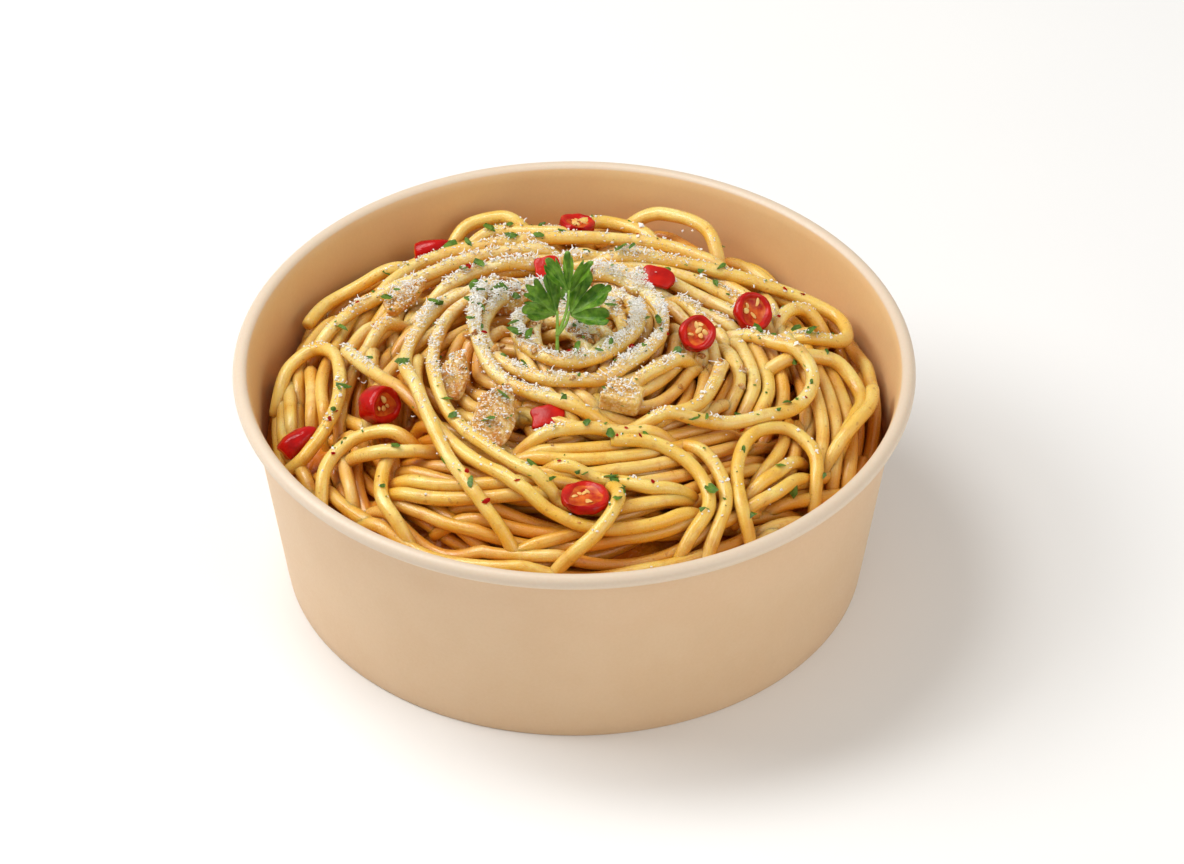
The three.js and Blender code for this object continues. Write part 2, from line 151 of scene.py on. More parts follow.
# an outline of radius and height, drawn in a new bmesh and ready to be spun
def drawOutline(bm, outline):
    verts = [bm.verts.new((radius, 0, height)) for radius, height in outline]
    for pair in zip(verts, verts[1:]):
        bm.edges.new(pair)
    return verts


def spinOutline(bm, sides):
    geom = list(bm.verts) + list(bm.edges)
    turn = {"axis": (0, 0, 1), "cent": (0, 0, 0), "angle": 2 * pi}
    bmesh.ops.spin(bm, geom=geom, steps=sides, use_merge=True, **turn)
    bmesh.ops.remove_doubles(bm, verts=bm.verts, dist=0.001)


# moves the surface in and out by up to about rough, in bumps as wide as lumps
def unevenly(bm, look):
    seed = Vector((look["seed"],) * 3)
    for vert in bm.verts:
        vert.co += look["rough"] * noise.noise_vector(vert.co / look["lumps"] + seed)


# raises flat faces into a solid of this thickness
def thicken(bm, thick):
    raised = bmesh.ops.extrude_face_region(bm, geom=list(bm.faces))
    top = [item for item in raised["geom"] if isinstance(item, bmesh.types.BMVert)]
    bmesh.ops.translate(bm, vec=(0, 0, thick), verts=top)


def soften(bm, edges, width):
    bmesh.ops.bevel(bm, geom=edges, offset=width, segments=3, profile=0.5, affect="EDGES", material=-1)


# node materials
def srgb(*levels):
    shares = [level / 255 for level in levels]
    return (*[c / 12.92 if c <= 0.04045 else ((c + 0.055) / 1.055) ** 2.4 for c in shares], 1)


def newMaterial(name):
    material = bpy.data.materials.new(name)
    material.use_nodes = True
    return material, material.node_tree, material.node_tree.nodes["Principled BSDF"]


# a word names a mesh attribute, a socket is linked, and anything else is the input's own value
def setInputs(tree, node, values):
    for name, value in values.items():
        if isinstance(value, str):
            value = attributeValue(tree, value)
        if isinstance(value, bpy.types.NodeSocket):
            tree.links.new(value, node.inputs[name])
        else:
            node.inputs[name].default_value = value


def addNode(tree, kind, values):
    node = tree.nodes.new(kind)
    setInputs(tree, node, values)
    return node


def mixColours(tree, factor, first, second):
    node = tree.nodes.new("ShaderNodeMix")
    node.data_type = "RGBA"
    setInputs(tree, node, {0: factor, 6: first, 7: second})
    return node.outputs[2]


def calculate(tree, operation, first, second):
    node = addNode(tree, "ShaderNodeMath", {0: first, 1: second})
    node.operation = operation
    return node.outputs[0]


def times(tree, first, second):
    return calculate(tree, "MULTIPLY", first, second)


def plus(tree, first, second):
    return calculate(tree, "ADD", first, second)


def attributeValue(tree, name):
    node = tree.nodes.new("ShaderNodeAttribute")
    node.attribute_name = name
    return node.outputs["Fac"]


def spreadOut(tree, value, low, high):
    values = {"Value": value, "From Min": low, "From Max": high}
    return addNode(tree, "ShaderNodeMapRange", values).outputs["Result"]


# cloudy 0 to 1 mask over the object, at a feature size in millimetres
def makeCloudGroup():
    group = bpy.data.node_groups.new("cloud", "ShaderNodeTree")
    for name in ("Size mm", "Detail", "Low", "High"):
        group.interface.new_socket(name, in_out="INPUT", socket_type="NodeSocketFloat")
    group.interface.new_socket("Mask", in_out="OUTPUT", socket_type="NodeSocketFloat")
    given = group.nodes.new("NodeGroupInput").outputs
    place = group.nodes.new("ShaderNodeTexCoord").outputs["Object"]
    scale = calculate(group, "DIVIDE", 1 / mm, given["Size mm"])
    values = {"Vector": place, "Scale": scale, "Detail": given["Detail"]}
    grain = addNode(group, "ShaderNodeTexNoise", values).outputs["Fac"]
    addNode(group, "NodeGroupOutput", {"Mask": spreadOut(group, grain, given["Low"], given["High"])})
    return group


cloudGroup = makeCloudGroup()


def cloud(tree, size, low=0.4, high=0.6, detail=3):
    node = tree.nodes.new("ShaderNodeGroup")
    node.node_tree = cloudGroup
    setInputs(tree, node, {"Size mm": size, "Detail": detail, "Low": low, "High": high})
    return node.outputs["Mask"]


def bumpFrom(tree, height, strength, distance):
    values = {"Height": height, "Strength": strength, "Distance": distance * mm}
    return addNode(tree, "ShaderNodeBump", values).outputs["Normal"]


# how far light spreads under the surface, in millimetres
def scatter(weight, radius, scale):
    return {"Subsurface Weight": weight, "Subsurface Radius": radius, "Subsurface Scale": scale * mm}


def paperMaterial():
    material, tree, shader = newMaterial("paper")
    outside = mixColours(tree, cloud(tree, 14), srgb(219, 185, 145), srgb(221, 188, 149))
    # the inside wall is warmer and more orange than the outside: painted warm bounce light from the noodles
    inside = mixColours(tree, cloud(tree, 14), srgb(229, 190, 138), srgb(231, 194, 142))
    wall = mixColours(tree, "inside", outside, inside)
    # the rolled rim is paler than the wall: painted sheen
    board = mixColours(tree, "rim", wall, srgb(223, 204, 181))
    fibres = cloud(tree, 0.7, 0.3, 0.7, 5)
    setInputs(tree, shader, {
        "Base Color": mixColours(tree, times(tree, fibres, 0.09), board, srgb(200, 160, 116)),
        "Roughness": plus(tree, times(tree, fibres, 0.1), 0.42),
        "Normal": bumpFrom(tree, fibres, 0.12, 0.06),
        "Specular IOR Level": 0.75,
        **scatter(0.08, (1, 0.5, 0.25), 1.5),
    })
    return material


# faint lines along a strand, from its own unrolled map
def strandStreaks(tree):
    unrolled = tree.nodes.new("ShaderNodeUVMap")
    unrolled.uv_map = "strand"
    stretch = addNode(tree, "ShaderNodeMapping", {"Vector": unrolled.outputs["UV"], "Scale": (0.12, 9, 1)})
    values = {"Vector": stretch.outputs["Vector"], "Scale": 1, "Detail": 3}
    lines = addNode(tree, "ShaderNodeTexNoise", values)
    return spreadOut(tree, lines.outputs["Fac"], 0.35, 0.65)


def noodleMaterial():
    material, tree, shader = newMaterial("noodle")
    streaks = strandStreaks(tree)
    pale = mixColours(tree, "tone", srgb(247, 227, 148), srgb(242, 214, 114))
    lined = mixColours(tree, times(tree, streaks, 0.7), pale, srgb(230, 188, 80))
    saucy = mixColours(tree, cloud(tree, 8, 0.42, 0.66), lined, srgb(236, 188, 66))
    stains = times(tree, cloud(tree, 3.5, 0.54, 0.72), 0.45)
    stained = mixColours(tree, stains, saucy, srgb(204, 134, 42))
    # sides and undersides turn saturated orange: partly oil, partly painted shade
    flankOilAndShade = mixColours(tree, "flankOilAndShade", stained, srgb(244, 174, 16))
    # deeper in the gaps, darker orange-brown: partly sauce, partly painted shade
    deep = mixColours(tree, "creviceOilAndShade", flankOilAndShade, srgb(216, 134, 14))
    specks = times(tree, cloud(tree, 1.3, 0.7, 0.74, 1), 0.4)
    spiced = mixColours(tree, specks, deep, srgb(170, 100, 26))
    clumps = times(tree, cloud(tree, 0.6, 0.36, 0.56), cloud(tree, 5, 0.28, 0.5))
    dust = times(tree, clumps, "dust")
    grain = plus(tree, cloud(tree, 0.35, 0.3, 0.7, 4), times(tree, streaks, 0.8))
    gloss = plus(tree, times(tree, grain, 0.12), 0.2)
    rough = plus(tree, grain, times(tree, dust, 1.4))
    setInputs(tree, shader, {
        "Base Color": mixColours(tree, dust, spiced, srgb(255, 247, 222)),
        "Roughness": plus(tree, gloss, times(tree, dust, 0.4)),
        "Normal": bumpFrom(tree, rough, 0.6, 0.12),
        "Specular IOR Level": 0.5,
        "Coat Weight": 0.5,
        "Coat Roughness": 0.16,
        **scatter(0.6, (0.9, 0.75, 0.25), 1.9),
    })
    return material


def sauceMaterial():
    material, tree, shader = newMaterial("sauce")
    setInputs(tree, shader, {
        "Base Color": mixColours(tree, cloud(tree, 6), srgb(200, 100, 4), srgb(220, 128, 10)),
        "Roughness": 0.4,
        "Normal": bumpFrom(tree, cloud(tree, 3), 0.5, 0.8),
    })
    return material


def cheeseMaterial():
    material, tree, shader = newMaterial("cheese")
    setInputs(tree, shader, {
        "Base Color": mixColours(tree, cloud(tree, 2), srgb(255, 254, 248), srgb(254, 248, 232)),
        "Roughness": 0.55,
        "Normal": bumpFrom(tree, cloud(tree, 0.3), 0.3, 0.08),
        **scatter(0.7, (1, 0.9, 0.7), 0.7),
    })
    return material


def leafMaterial(name, light, dark):
    material, tree, shader = newMaterial(name)
    body = mixColours(tree, cloud(tree, 2.2, 0.35, 0.65), dark, light)
    setInputs(tree, shader, {
        "Base Color": mixColours(tree, "vein", body, srgb(148, 188, 76)),
        "Roughness": 0.38,
        "Normal": bumpFrom(tree, cloud(tree, 1.3, 0.3, 0.7), 0.5, 0.35),
        **scatter(0.2, (0.5, 1, 0.2), 0.6),
    })
    return material


def chilliMaterial(name, first, second, rough):
    material, tree, shader = newMaterial(name)
    setInputs(tree, shader, {
        "Base Color": mixColours(tree, cloud(tree, 2.4, 0.35, 0.65), first, second),
        "Roughness": rough,
        "Normal": bumpFrom(tree, cloud(tree, 0.9), 0.2, 0.15),
        "Specular IOR Level": 0.28,
        **scatter(0.15, (1, 0.15, 0.06), 1),
    })
    return material


def garlicMaterial(name, light, dark):
    material, tree, shader = newMaterial(name)
    body = mixColours(tree, cloud(tree, 3, 0.35, 0.65), light, dark)
    edge = times(tree, "edge", cloud(tree, 2.5, 0.3, 0.6))
    browned = mixColours(tree, edge, body, srgb(200, 128, 46))
    spots = mixColours(tree, cloud(tree, 1.2, 0.62, 0.72), browned, srgb(196, 128, 56))
    dust = times(tree, cloud(tree, 0.7, 0.48, 0.62), 0.55)
    setInputs(tree, shader, {
        "Base Color": mixColours(tree, dust, spots, srgb(250, 234, 196)),
        "Roughness": 0.48,
        "Normal": bumpFrom(tree, cloud(tree, 0.8, 0.3, 0.7, 4), 0.7, 0.35),
        "Specular IOR Level": 0.3,
        **scatter(0.3, (1, 0.6, 0.25), 1.6),
    })
    return material


# paper bowl
bowl = {
    "rimRadius": 75,
    "footRadius": 64,
    "height": 53,
    "board": 0.6,
    "rollRadius": 1.7,
    "rollArc": range(-135, 151, 15),  # degrees, from the neck over the rim to the inside
    "neckRadius": 71.7,
    "neckStep": 0.3,  # fine step under the rim
    "footRing": 1.3,
    "footRecess": 3,
    "footFold": 0.3,
    "floorCorner": 2,
    "sides": 160,
}
neckHeight = bowl["height"] - 2 * bowl["rollRadius"]
floorHeight = bowl["footRecess"] + bowl["board"]


def wallRadius(height):
    return bowl["footRadius"] + (bowl["neckRadius"] - bowl["footRadius"]) * height / neckHeight


def insideRadius(height):
    return wallRadius(height) - bowl["board"]


# from the middle of the underside, out over the foot and rim, and back to the middle of the floor
def bowlOutline():
    foot, recess, fold = bowl["footRadius"], bowl["footRecess"], bowl["footFold"]
    ring = foot - bowl["footRing"]
    points = [(0, recess), (ring - 1, recess), (ring, recess - 0.5), (ring, fold)]
    points += [(ring + fold, 0), (foot - fold, 0), (foot, 0.35)]
    points += [(wallRadius(h), h) for h in np.linspace(4, neckHeight - 0.9, 9)]
    step = bowl["neckRadius"] + bowl["neckStep"]
    points += [(step - 0.05, neckHeight - 0.5), (step, neckHeight)]
    neck = len(points) + 1
    roll = bowl["rollRadius"]
    for angle in map(radians, bowl["rollArc"]):
        out, up = cos(angle) - 1, sin(angle) - 1
        points.append((bowl["rimRadius"] + roll * out, bowl["height"] + roll * up))
    lip = len(points) - 2
    corner, floorRadius = bowl["floorCorner"], insideRadius(floorHeight)
    points += [(insideRadius(h), h) for h in np.linspace(neckHeight + 0.6, floorHeight + corner, 10)]
    points += [(floorRadius - 0.5, floorHeight + 0.5), (floorRadius - corner, floorHeight), (0, floorHeight)]
    return points, neck, lip


def makeBowl(material):
    outline, neck, lip = bowlOutline()
    bm = bmesh.new()
    inside = bm.verts.layers.float.new("inside")
    rim = bm.verts.layers.float.new("rim")
    for index, vert in enumerate(drawOutline(bm, outline)):
        vert[inside] = float(index > lip)
        vert[rim] = float(neck <= index <= lip)
    spinOutline(bm, bowl["sides"])
    meshPiece("paperBowl", meshFromBmesh(bm), [material], ["bowl"])


# heap of noodles
heap = {
    "crown": 58.5,
    "fall": 19,  # from the crown to the edge
    "edgeRadius": 68,
    "clearance": 0.5,
    "cell": 0.5,
    "coreDepth": 8,  # the sauce-brown core lies this far under the top strands
    "coreSides": 64,
    "topsReach": 3,
    "crumbReach": 62,  # crumbs lie within this radius
}
strand = {
    "radius": 1.55,
    "spacing": 1.5,  # between the points of a route
    "sink": 0.3,
    "stiffness": 40,
    "tuckLength": 9,
    "tuckDepth": 5,
    "pitch": 3.2,  # between the strands of a bundle
    "waves": 0.03,  # share of the radius
    "waveTurn": 0.31,  # radians for each millimetre
    "sizeSpread": 0.02,
    "endSize": 0.86,
    "sides": 12,
    "step": 1.1,
}


def run(*through, count=1, arch=0, cut=False, **more):
    return {"through": through, "count": count, "arch": arch, "cut": cut, **more}


# the strands that show and the toppings between them, in the order that they were laid
layers = [
    run((-46, 28), (-34, 43), (-17, 48.5), (6, 49.5), (22, 47), (37, 38)),
    run((-26, 53), (-18, 57), (-6, 55), (4, 53)),
    run((-3, 57), (6, 61), (14, 58), (20, 51)),
    run((-29, 56), (-24, 61), (-16, 62), (-10, 58), arch=2),
    run((11, 62), (20, 61), (29, 55), (33, 45), arch=4.6),
    run((-59.5, 27), (-55, 34), (-46, 39), (-36, 42), cut=True),
    run((-59, 14), (-48, 27), (-34, 34.5), (-20, 41), (-2, 43)),
    run((47, 22), (52, 8), (56, -5), (57.5, -17), (56, -29), count=3),
    run((-41, -34), (-33, -39.5), (-22, -42), (-6, -42), (8, -41), count=2),
    run((36, -39), (44, -32), (50, -23)),
    run((-22, -30), (-8, -28.5), (8, -27), (23, -27)),
    run((-66, 1), (-63, 10), (-57, 14), (-52.5, 8), (-51.5, -6), (-54.5, -15.5), (-59.5, -21.5),
        (-64.5, -20)),
    run((40, -1), (50, 3.5), (58, 5), (63, -3), (61, -13), (57, -22)),
    run((65.5, 1), (65, -8), (61, -17), (54, -26), cut=True),
    run((2, 37), (20, 38), (36, 36), (50, 33.5), (59, 28), (60, 18), (54, 12), (46, 12.5)),
    run((42, 13), (45.5, 22.5), (51, 27.5), (57, 23)),
    run((-47, 9), (-40, 18), (-30, 26), (-19, 33), (-4, 36)),
    "chilli_left",
    run((-38, -23), (-41.5, -33), (-41, -41), (-35, -49)),
    run((-50, -23), (-45, -28.5), (-37, -30), (-28, -28)),
    run((-55, -37), (-54, -27), (-48.5, -21.5), (-41, -21.5), (-33, -26)),
    run((-50.5, 8), (-43, -3.5), (-36, -12.5), (-30, -20), cut=True),
    "garlic_slice",
    "garlic_chip",
    "garlic_nest",
    run((-34, 4), (-34, -14), (-27, -28), (-12, -44), (3, -52), (18, -50), (28, -43)),
    run((-14, 21), (-27, 13), (-31, -4), (-27, -21), (-13, -37.5), (2, -47), (18, -45), (26, -40)),
    run((-12, 28), (-30, 17), (-37, -2), (-33, -20), (-22.5, -43), (-12, -55)),
    run((34, -44), (43, -38), (52, -27)),
    run((39, -51), (36, -42), (35.5, -32), (39, -23), (46.5, -19), (52.5, -25), (52, -37)),
    run((33, 3), (31, -9), (26, -19), (15, -25)),
    run((12, -13), (20, -7), (27, 1), (28, 10), cut=True),
    run((22, -26), (30, -33), (32.8, -43), (28, -55)),
    run((8, -30.5), (18, -30.5), (26.5, -36), (29, -45), (22, -55), cut=True),
    run((-7, -35), (8, -40), (18, -43), (26, -40)),
    "chilli_front",
    run((8, -41), (9.5, -48), (4, -56), (-5, -59)),
    run((12, 17), (14, 6), (8, -4), (-1, -8), (-10, -3), (-12.5, 6), (-7, 15)),
    run((-2, 29), (11, 25), (19, 13), (17, -1), (6, -12), (-7, -13), (-17, -5), (-20, 6), (-15, 18)),
    run((-19, 21), (-22, 6), (-17, -11), (-3, -20), (15, -24), (34, -22), (49, -12), (51, 0), (33, 13)),
    "garlic_cube",
    "garlic_back",
    "chilli_near_sprig",
    "chilli_square",
    "chilli_right",
    "chilli_ring",
]
# bundles that show in the gaps, laid under the others
bundles = [
    run((-40, -25), (-25, -34), (-5, -40), (15.5, -38), (34, -29), (42, -22), count=5),
    run((-46, -36), (-28, -50), (-4, -56), (20, -53), (42, -38), count=3),
    run((49, 14), (55, 4), (57.5, -8), (54, -24), count=4),
    run((31, 22), (38, 8), (41, -6), (36, -18), count=4),
    run((-62, 18), (-61, 2), (-60, -12), (-53, -30), count=3),
    run((-52, 22), (-40, 36), (-22, 46), (0, 49), count=4),
    run((-32, 30), (-16, 39), (2, 41), (22, 40), count=3),
    run((-30, -30), (-14, -35), (4, -33), (20, -33), count=3),
    run((26, 12), (24, 0), (16, -12), (2, -17), count=3),
    run((-16, -58), (2, -59), (18, -57), (34, -49), (44, -38), count=3),
    run((0, 28), (12, 23), (19, 12), (17, 0), count=3),
    run((-34, 50), (-22, 55), (-6, 58), (10, 58), count=2),
    run((-62, -6), (-60, -18), (-53, -32), (-42, -44), count=2),
    run((-57.5, 3), (-57.5, -8), (-55, -18), (-50, -30), count=1, level=1.2),
    run((56, 36), (63, 22), (66, 6), (65, -10), (60, -26), count=2, level=2.5),
    run((60, 30), (66, 14), (67, -4), (62, -24), count=1, level=3.5),
    run((62, 25), (66, 10), (67, -8), count=1, level=4),
]
halfGrid = bowl["rimRadius"]
gridSize = round(2 * halfGrid / heap["cell"]) + 1
gridLine = np.linspace(-halfGrid, halfGrid, gridSize)
gridX, gridY = np.meshgrid(gridLine, gridLine)


def moundHeight(x, y):
    return heap["crown"] - heap["fall"] * (x * x + y * y) / heap["edgeRadius"] ** 2


# rows, columns and ball heights of the grid points round a place, and which of them a ball there covers
def ballCells(x, y, radius):
    reach = ceil(radius / heap["cell"])
    column = round((x + halfGrid) / heap["cell"])
    row = round((y + halfGrid) / heap["cell"])
    rows = slice(max(0, row - reach), min(gridSize, row + reach + 1))
    columns = slice(max(0, column - reach), min(gridSize, column + reach + 1))
    squared = (gridX[rows, columns] - x) ** 2 + (gridY[rows, columns] - y) ** 2
    return rows, columns, np.sqrt(np.maximum(radius * radius - squared, 0)), squared < radius * radius


def restingHeight(surface, x, y, radius):
    rows, columns, cap, near = ballCells(x, y, radius)
    return (surface[rows, columns] + cap)[near].max()


def surfaceHeight(surface, x, y, radius):
    rows, columns, _, near = ballCells(x, y, radius)
    return surface[rows, columns][near].mean()


def raiseSurface(surface, x, y, radius, height):
    rows, columns, cap, near = ballCells(x, y, radius)
    patch = surface[rows, columns]
    patch[near] = np.maximum(patch[near], height + cap[near])


def gridValue(values, places):
    cells = np.round((places[:, :2] + halfGrid) / heap["cell"]).astype(int)
    column, row = np.clip(cells, 0, gridSize - 1).T
    return values[row, column]


# the highest surface round each grid point, smoothed
def localTops(surface):
    reach = round(heap["topsReach"] / heap["cell"])
    tops = surface
    for pick, axis in ((np.max, 0), (np.max, 1), (np.mean, 0), (np.mean, 1), (np.mean, 0), (np.mean, 1)):
        tops = pick([np.roll(tops, cell, axis) for cell in range(-reach, reach + 1)], axis=0)
    return tops


# evenly spaced points on the smooth curve through some points
def smoothRoute(points, spacing=strand["spacing"]):
    points = np.asarray(points, float)
    ends = np.vstack([points[:1], points, points[-1:]])
    share = np.linspace(0, 1, 24, endpoint=False)[:, None]
    stretches = []
    for before, start, end, after in zip(ends, ends[1:], ends[2:], ends[3:]):
        leave, arrive = (end - before) / 2, (after - start) / 2
        cubic = 2 * start - 2 * end + leave + arrive
        square = -3 * start + 3 * end - 2 * leave - arrive
        stretches.append(cubic * share**3 + square * share**2 + leave * share + start)
    fine = np.vstack([*stretches, points[-1:]])
    length = np.concatenate([[0], np.cumsum(np.linalg.norm(np.diff(fine, axis=0), axis=1))])
    even = np.linspace(0, length[-1], ceil(length[-1] / spacing) + 1)
    return np.stack([np.interp(even, length, fine[:, axis]) for axis in range(fine.shape[1])], axis=1)


def unitRows(rows):
    return rows / np.linalg.norm(rows, axis=1)[:, None]


def pushSideways(route, amount):
    along = unitRows(np.gradient(route, axis=0))
    return route + amount * np.stack([-along[:, 1], along[:, 0]], axis=1)


def keepInside(route, drop):
    reach = np.linalg.norm(route, axis=1)
    wall = insideRadius(moundHeight(route[:, 0], route[:, 1]) - drop)
    limit = wall - strand["radius"] - heap["clearance"]
    return route * np.minimum(1, limit / np.maximum(reach, 1e-6))[:, None]


# the routes of a bundle, side by side and inside the bowl
def sideBySide(route, count, drop=0):
    shifts = (np.arange(count) - (count - 1) / 2) * strand["pitch"]
    return [keepInside(pushSideways(route, shift), drop) for shift in shifts]


# heights of a strand that rests on the surface and bridges its narrow gaps
def drape(surface, route):
    rest = np.array([restingHeight(surface, x, y, strand["radius"]) for x, y in route]) - strand["sink"]
    heights = rest.copy()
    for _ in range(strand["stiffness"]):
        level = (heights[:-2] + heights[2:]) / 2
        heights[1:-1] = np.maximum(rest[1:-1], (heights[1:-1] + level) / 2)
    return heights


# a cut strand shows its first end, the other ends are tucked in
def layStrand(surface, route, arch=0, cut=False, ceiling=np.inf):
    heights = np.minimum(drape(surface, route), ceiling)
    place = np.arange(len(route))
    fromEnd = (len(route) - 1 - place) * strand["spacing"]
    nearest = fromEnd if cut else np.minimum(place * strand["spacing"], fromEnd)
    tuck = (1 - np.minimum(1, nearest / strand["tuckLength"])) ** 2
    heights += arch * np.sin(np.pi * place / (len(route) - 1)) - strand["tuckDepth"] * tuck
    raiseRoute(surface, np.column_stack([route, heights]))
    return np.column_stack([route, heights])


def raiseRoute(surface, route):
    for x, y, height in route:
        raiseSurface(surface, x, y, strand["radius"], height)


# corners of a node's box, in millimetres
def boxOf(name):
    return np.array(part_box(name)) / mm


# raises the surface to a piece's upper side, so that cheese and herbs lie on it
def coverPiece(surface, piece):
    corners = [vert.co / mm for vert in piece.data.vertices]
    shape = BVHTree.FromPolygons(corners, [face.vertices for face in piece.data.polygons])
    low, high = np.min(corners, axis=0), np.max(corners, axis=0)
    within = (gridX > low[0]) & (gridX < high[0]) & (gridY > low[1]) & (gridY < high[1])
    for row, column in np.argwhere(within):
        above = Vector((gridLine[column], gridLine[row], high[2] + 1))
        hit = shape.ray_cast(above, Vector((0, 0, -1)))[0]
        if hit:
            surface[row, column] = max(surface[row, column], hit.z)


press = {"margin": 0.6, "ease": 7, "steepest": 0.4, "flakeThick": 1.6}


# presses the strands that lie under a topping down to its underside
def pressUnder(laid, name):
    size, middle = toppings[name], boxOf(name).mean(axis=0)
    upward = np.array(toppingTurn(name).to_3x3() @ Vector((0, 0, 1)))
    reach = max(size.get("diameter", 0), size.get("length", 0)) / 2 + press["margin"]
    half = size.get("thick", size.get("diameter", press["flakeThick"])) / 2
    for route in laid:
        offset = route[:, :2] - middle[:2]
        slope = (offset @ upward[:2] + half) / max(upward[2], press["steepest"])
        level = middle[2] - slope - strand["radius"]
        outside = np.linalg.norm(offset, axis=1) - reach
        near = np.clip(1 - outside / press["ease"], 0, 1) ** 2
        route[:, 2] -= near * np.maximum(0, route[:, 2] - level)


def layHeap(surface):
    laid = []
    for layer in layers:
        if isinstance(layer, str):
            box = boxOf(layer)
            x, y, height = box.mean(axis=0)
            raiseSurface(surface, x, y, np.ptp(box, axis=0)[:2].min() / 2, height)
            pressUnder(laid, layer)
            continue
        for side in sideBySide(smoothRoute(layer["through"]), layer["count"]):
            laid.append(layStrand(surface, side, layer["arch"], layer["cut"]))
    return laid


# loose strands under the ones that show: each bundle goes where the heap is lowest
filling = {
    "below": 9,
    "drop": 9,
    "lookAt": 40,  # places compared for each bundle
    "reach": 65,
    "feel": 3,
    "shortest": 14,
    "stray": 0.3,  # radians off the way round the bowl, and how much more in the middle
    "middleStray": 1.2,
    "middleReach": 15,
    "bend": (0.7, 1.2),
    "tightest": 13,
    "wave": 0.22,
    "waveTurn": (0.04, 0.14),
    "sides": 9,
    "step": 1.8,
    # a strand is laid if at least this percentage of it rises less than proud over the heap's
    # even form, and is then pressed down to level
    "percentage": 85,
    "rounds": [
        {"tries": 260, "length": (50, 110), "bundle": (2, 5), "proud": -0.8, "level": -0.8, "from": 0.002},
        {"tries": 240, "length": (40, 100), "bundle": (1, 3), "proud": 1.5, "level": 0, "from": 0.86},
        {"tries": 460, "length": (45, 120), "bundle": (2, 5), "proud": 2, "level": 0.7, "from": 0.002},
        {"tries": 620, "length": (26, 60), "bundle": (1, 4), "proud": 2.2, "level": 0.4, "from": 0.002},
    ],
}


def lowestPlace(surface, nearest):
    reach = filling["reach"] * np.sqrt(rng.uniform(nearest, 1, filling["lookAt"]))
    angle = rng.uniform(0, 2 * np.pi, filling["lookAt"])
    places = zip(reach * np.cos(angle), reach * np.sin(angle))
    gaps = [moundHeight(x, y) - surfaceHeight(surface, x, y, filling["feel"]) for x, y in places]
    best = int(np.argmax(gaps))
    return reach[best], angle[best]


def looseRoute(reach, angle, length):
    stray = filling["stray"] + filling["middleStray"] * exp(-reach / filling["middleReach"])
    heading = angle + pi / 2 + rng.normal(0, stray)
    turn = rng.uniform(*filling["bend"]) / max(reach, filling["tightest"])
    place = np.arange(ceil(length / strand["spacing"]))
    bends = heading + turn * strand["spacing"] * (place - len(place) / 2)
    bends += filling["wave"] * np.sin(place * rng.uniform(*filling["waveTurn"]) + rng.uniform(0, 6))
    steps = strand["spacing"] * np.column_stack([np.cos(bends), np.sin(bends)])
    start = np.array([reach * cos(angle), reach * sin(angle)])
    return start + np.cumsum(steps, axis=0) - steps[: len(steps) // 2].sum(axis=0)


def layBundle(surface, route, count, turn):
    laid = []
    for side in sideBySide(route, count, filling["drop"]):
        ceiling = moundHeight(side[:, 0], side[:, 1]) - strand["radius"]
        proud = np.percentile(drape(surface, side) - ceiling, filling["percentage"])
        if proud < turn["proud"] and np.ptp(side, axis=0).sum() > filling["shortest"]:
            laid.append(layStrand(surface, side, ceiling=ceiling + turn["level"]))
    return laid


def layLoose(surface, turn):
    laid = []
    for _ in range(turn["tries"]):
        route = looseRoute(*lowestPlace(surface, turn["from"]), rng.uniform(*turn["length"]))
        laid += layBundle(surface, route, rng.integers(*turn["bundle"]), turn)
    print("filling", len(laid), "strands")
    return laid


def layFilling():
    surface = moundHeight(gridX, gridY) - filling["below"]
    deep, edge, long, short = filling["rounds"]
    laid = layLoose(surface, deep)
    for bundle in bundles:
        laid += layBundle(surface, smoothRoute(bundle["through"]), bundle["count"], long | bundle)
    for turn in (edge, long, short):
        laid += layLoose(surface, turn)
    return laid


# where strands change colour: on their sides and undersides and down in the gaps, partly from sauce and oil
# and partly as painted shade, and under the cheese on top
tint = {
    "flankFrom": 0.45,
    "flankFade": 1.4,
    "creviceFrom": 1.6,  # millimetres under the tops
    "creviceFade": 5.8,
    "creviceMost": 0.85,
    "dustSlope": 1.5,
    "dustLess": 0.2,
    "dustMost": 0.95,
}


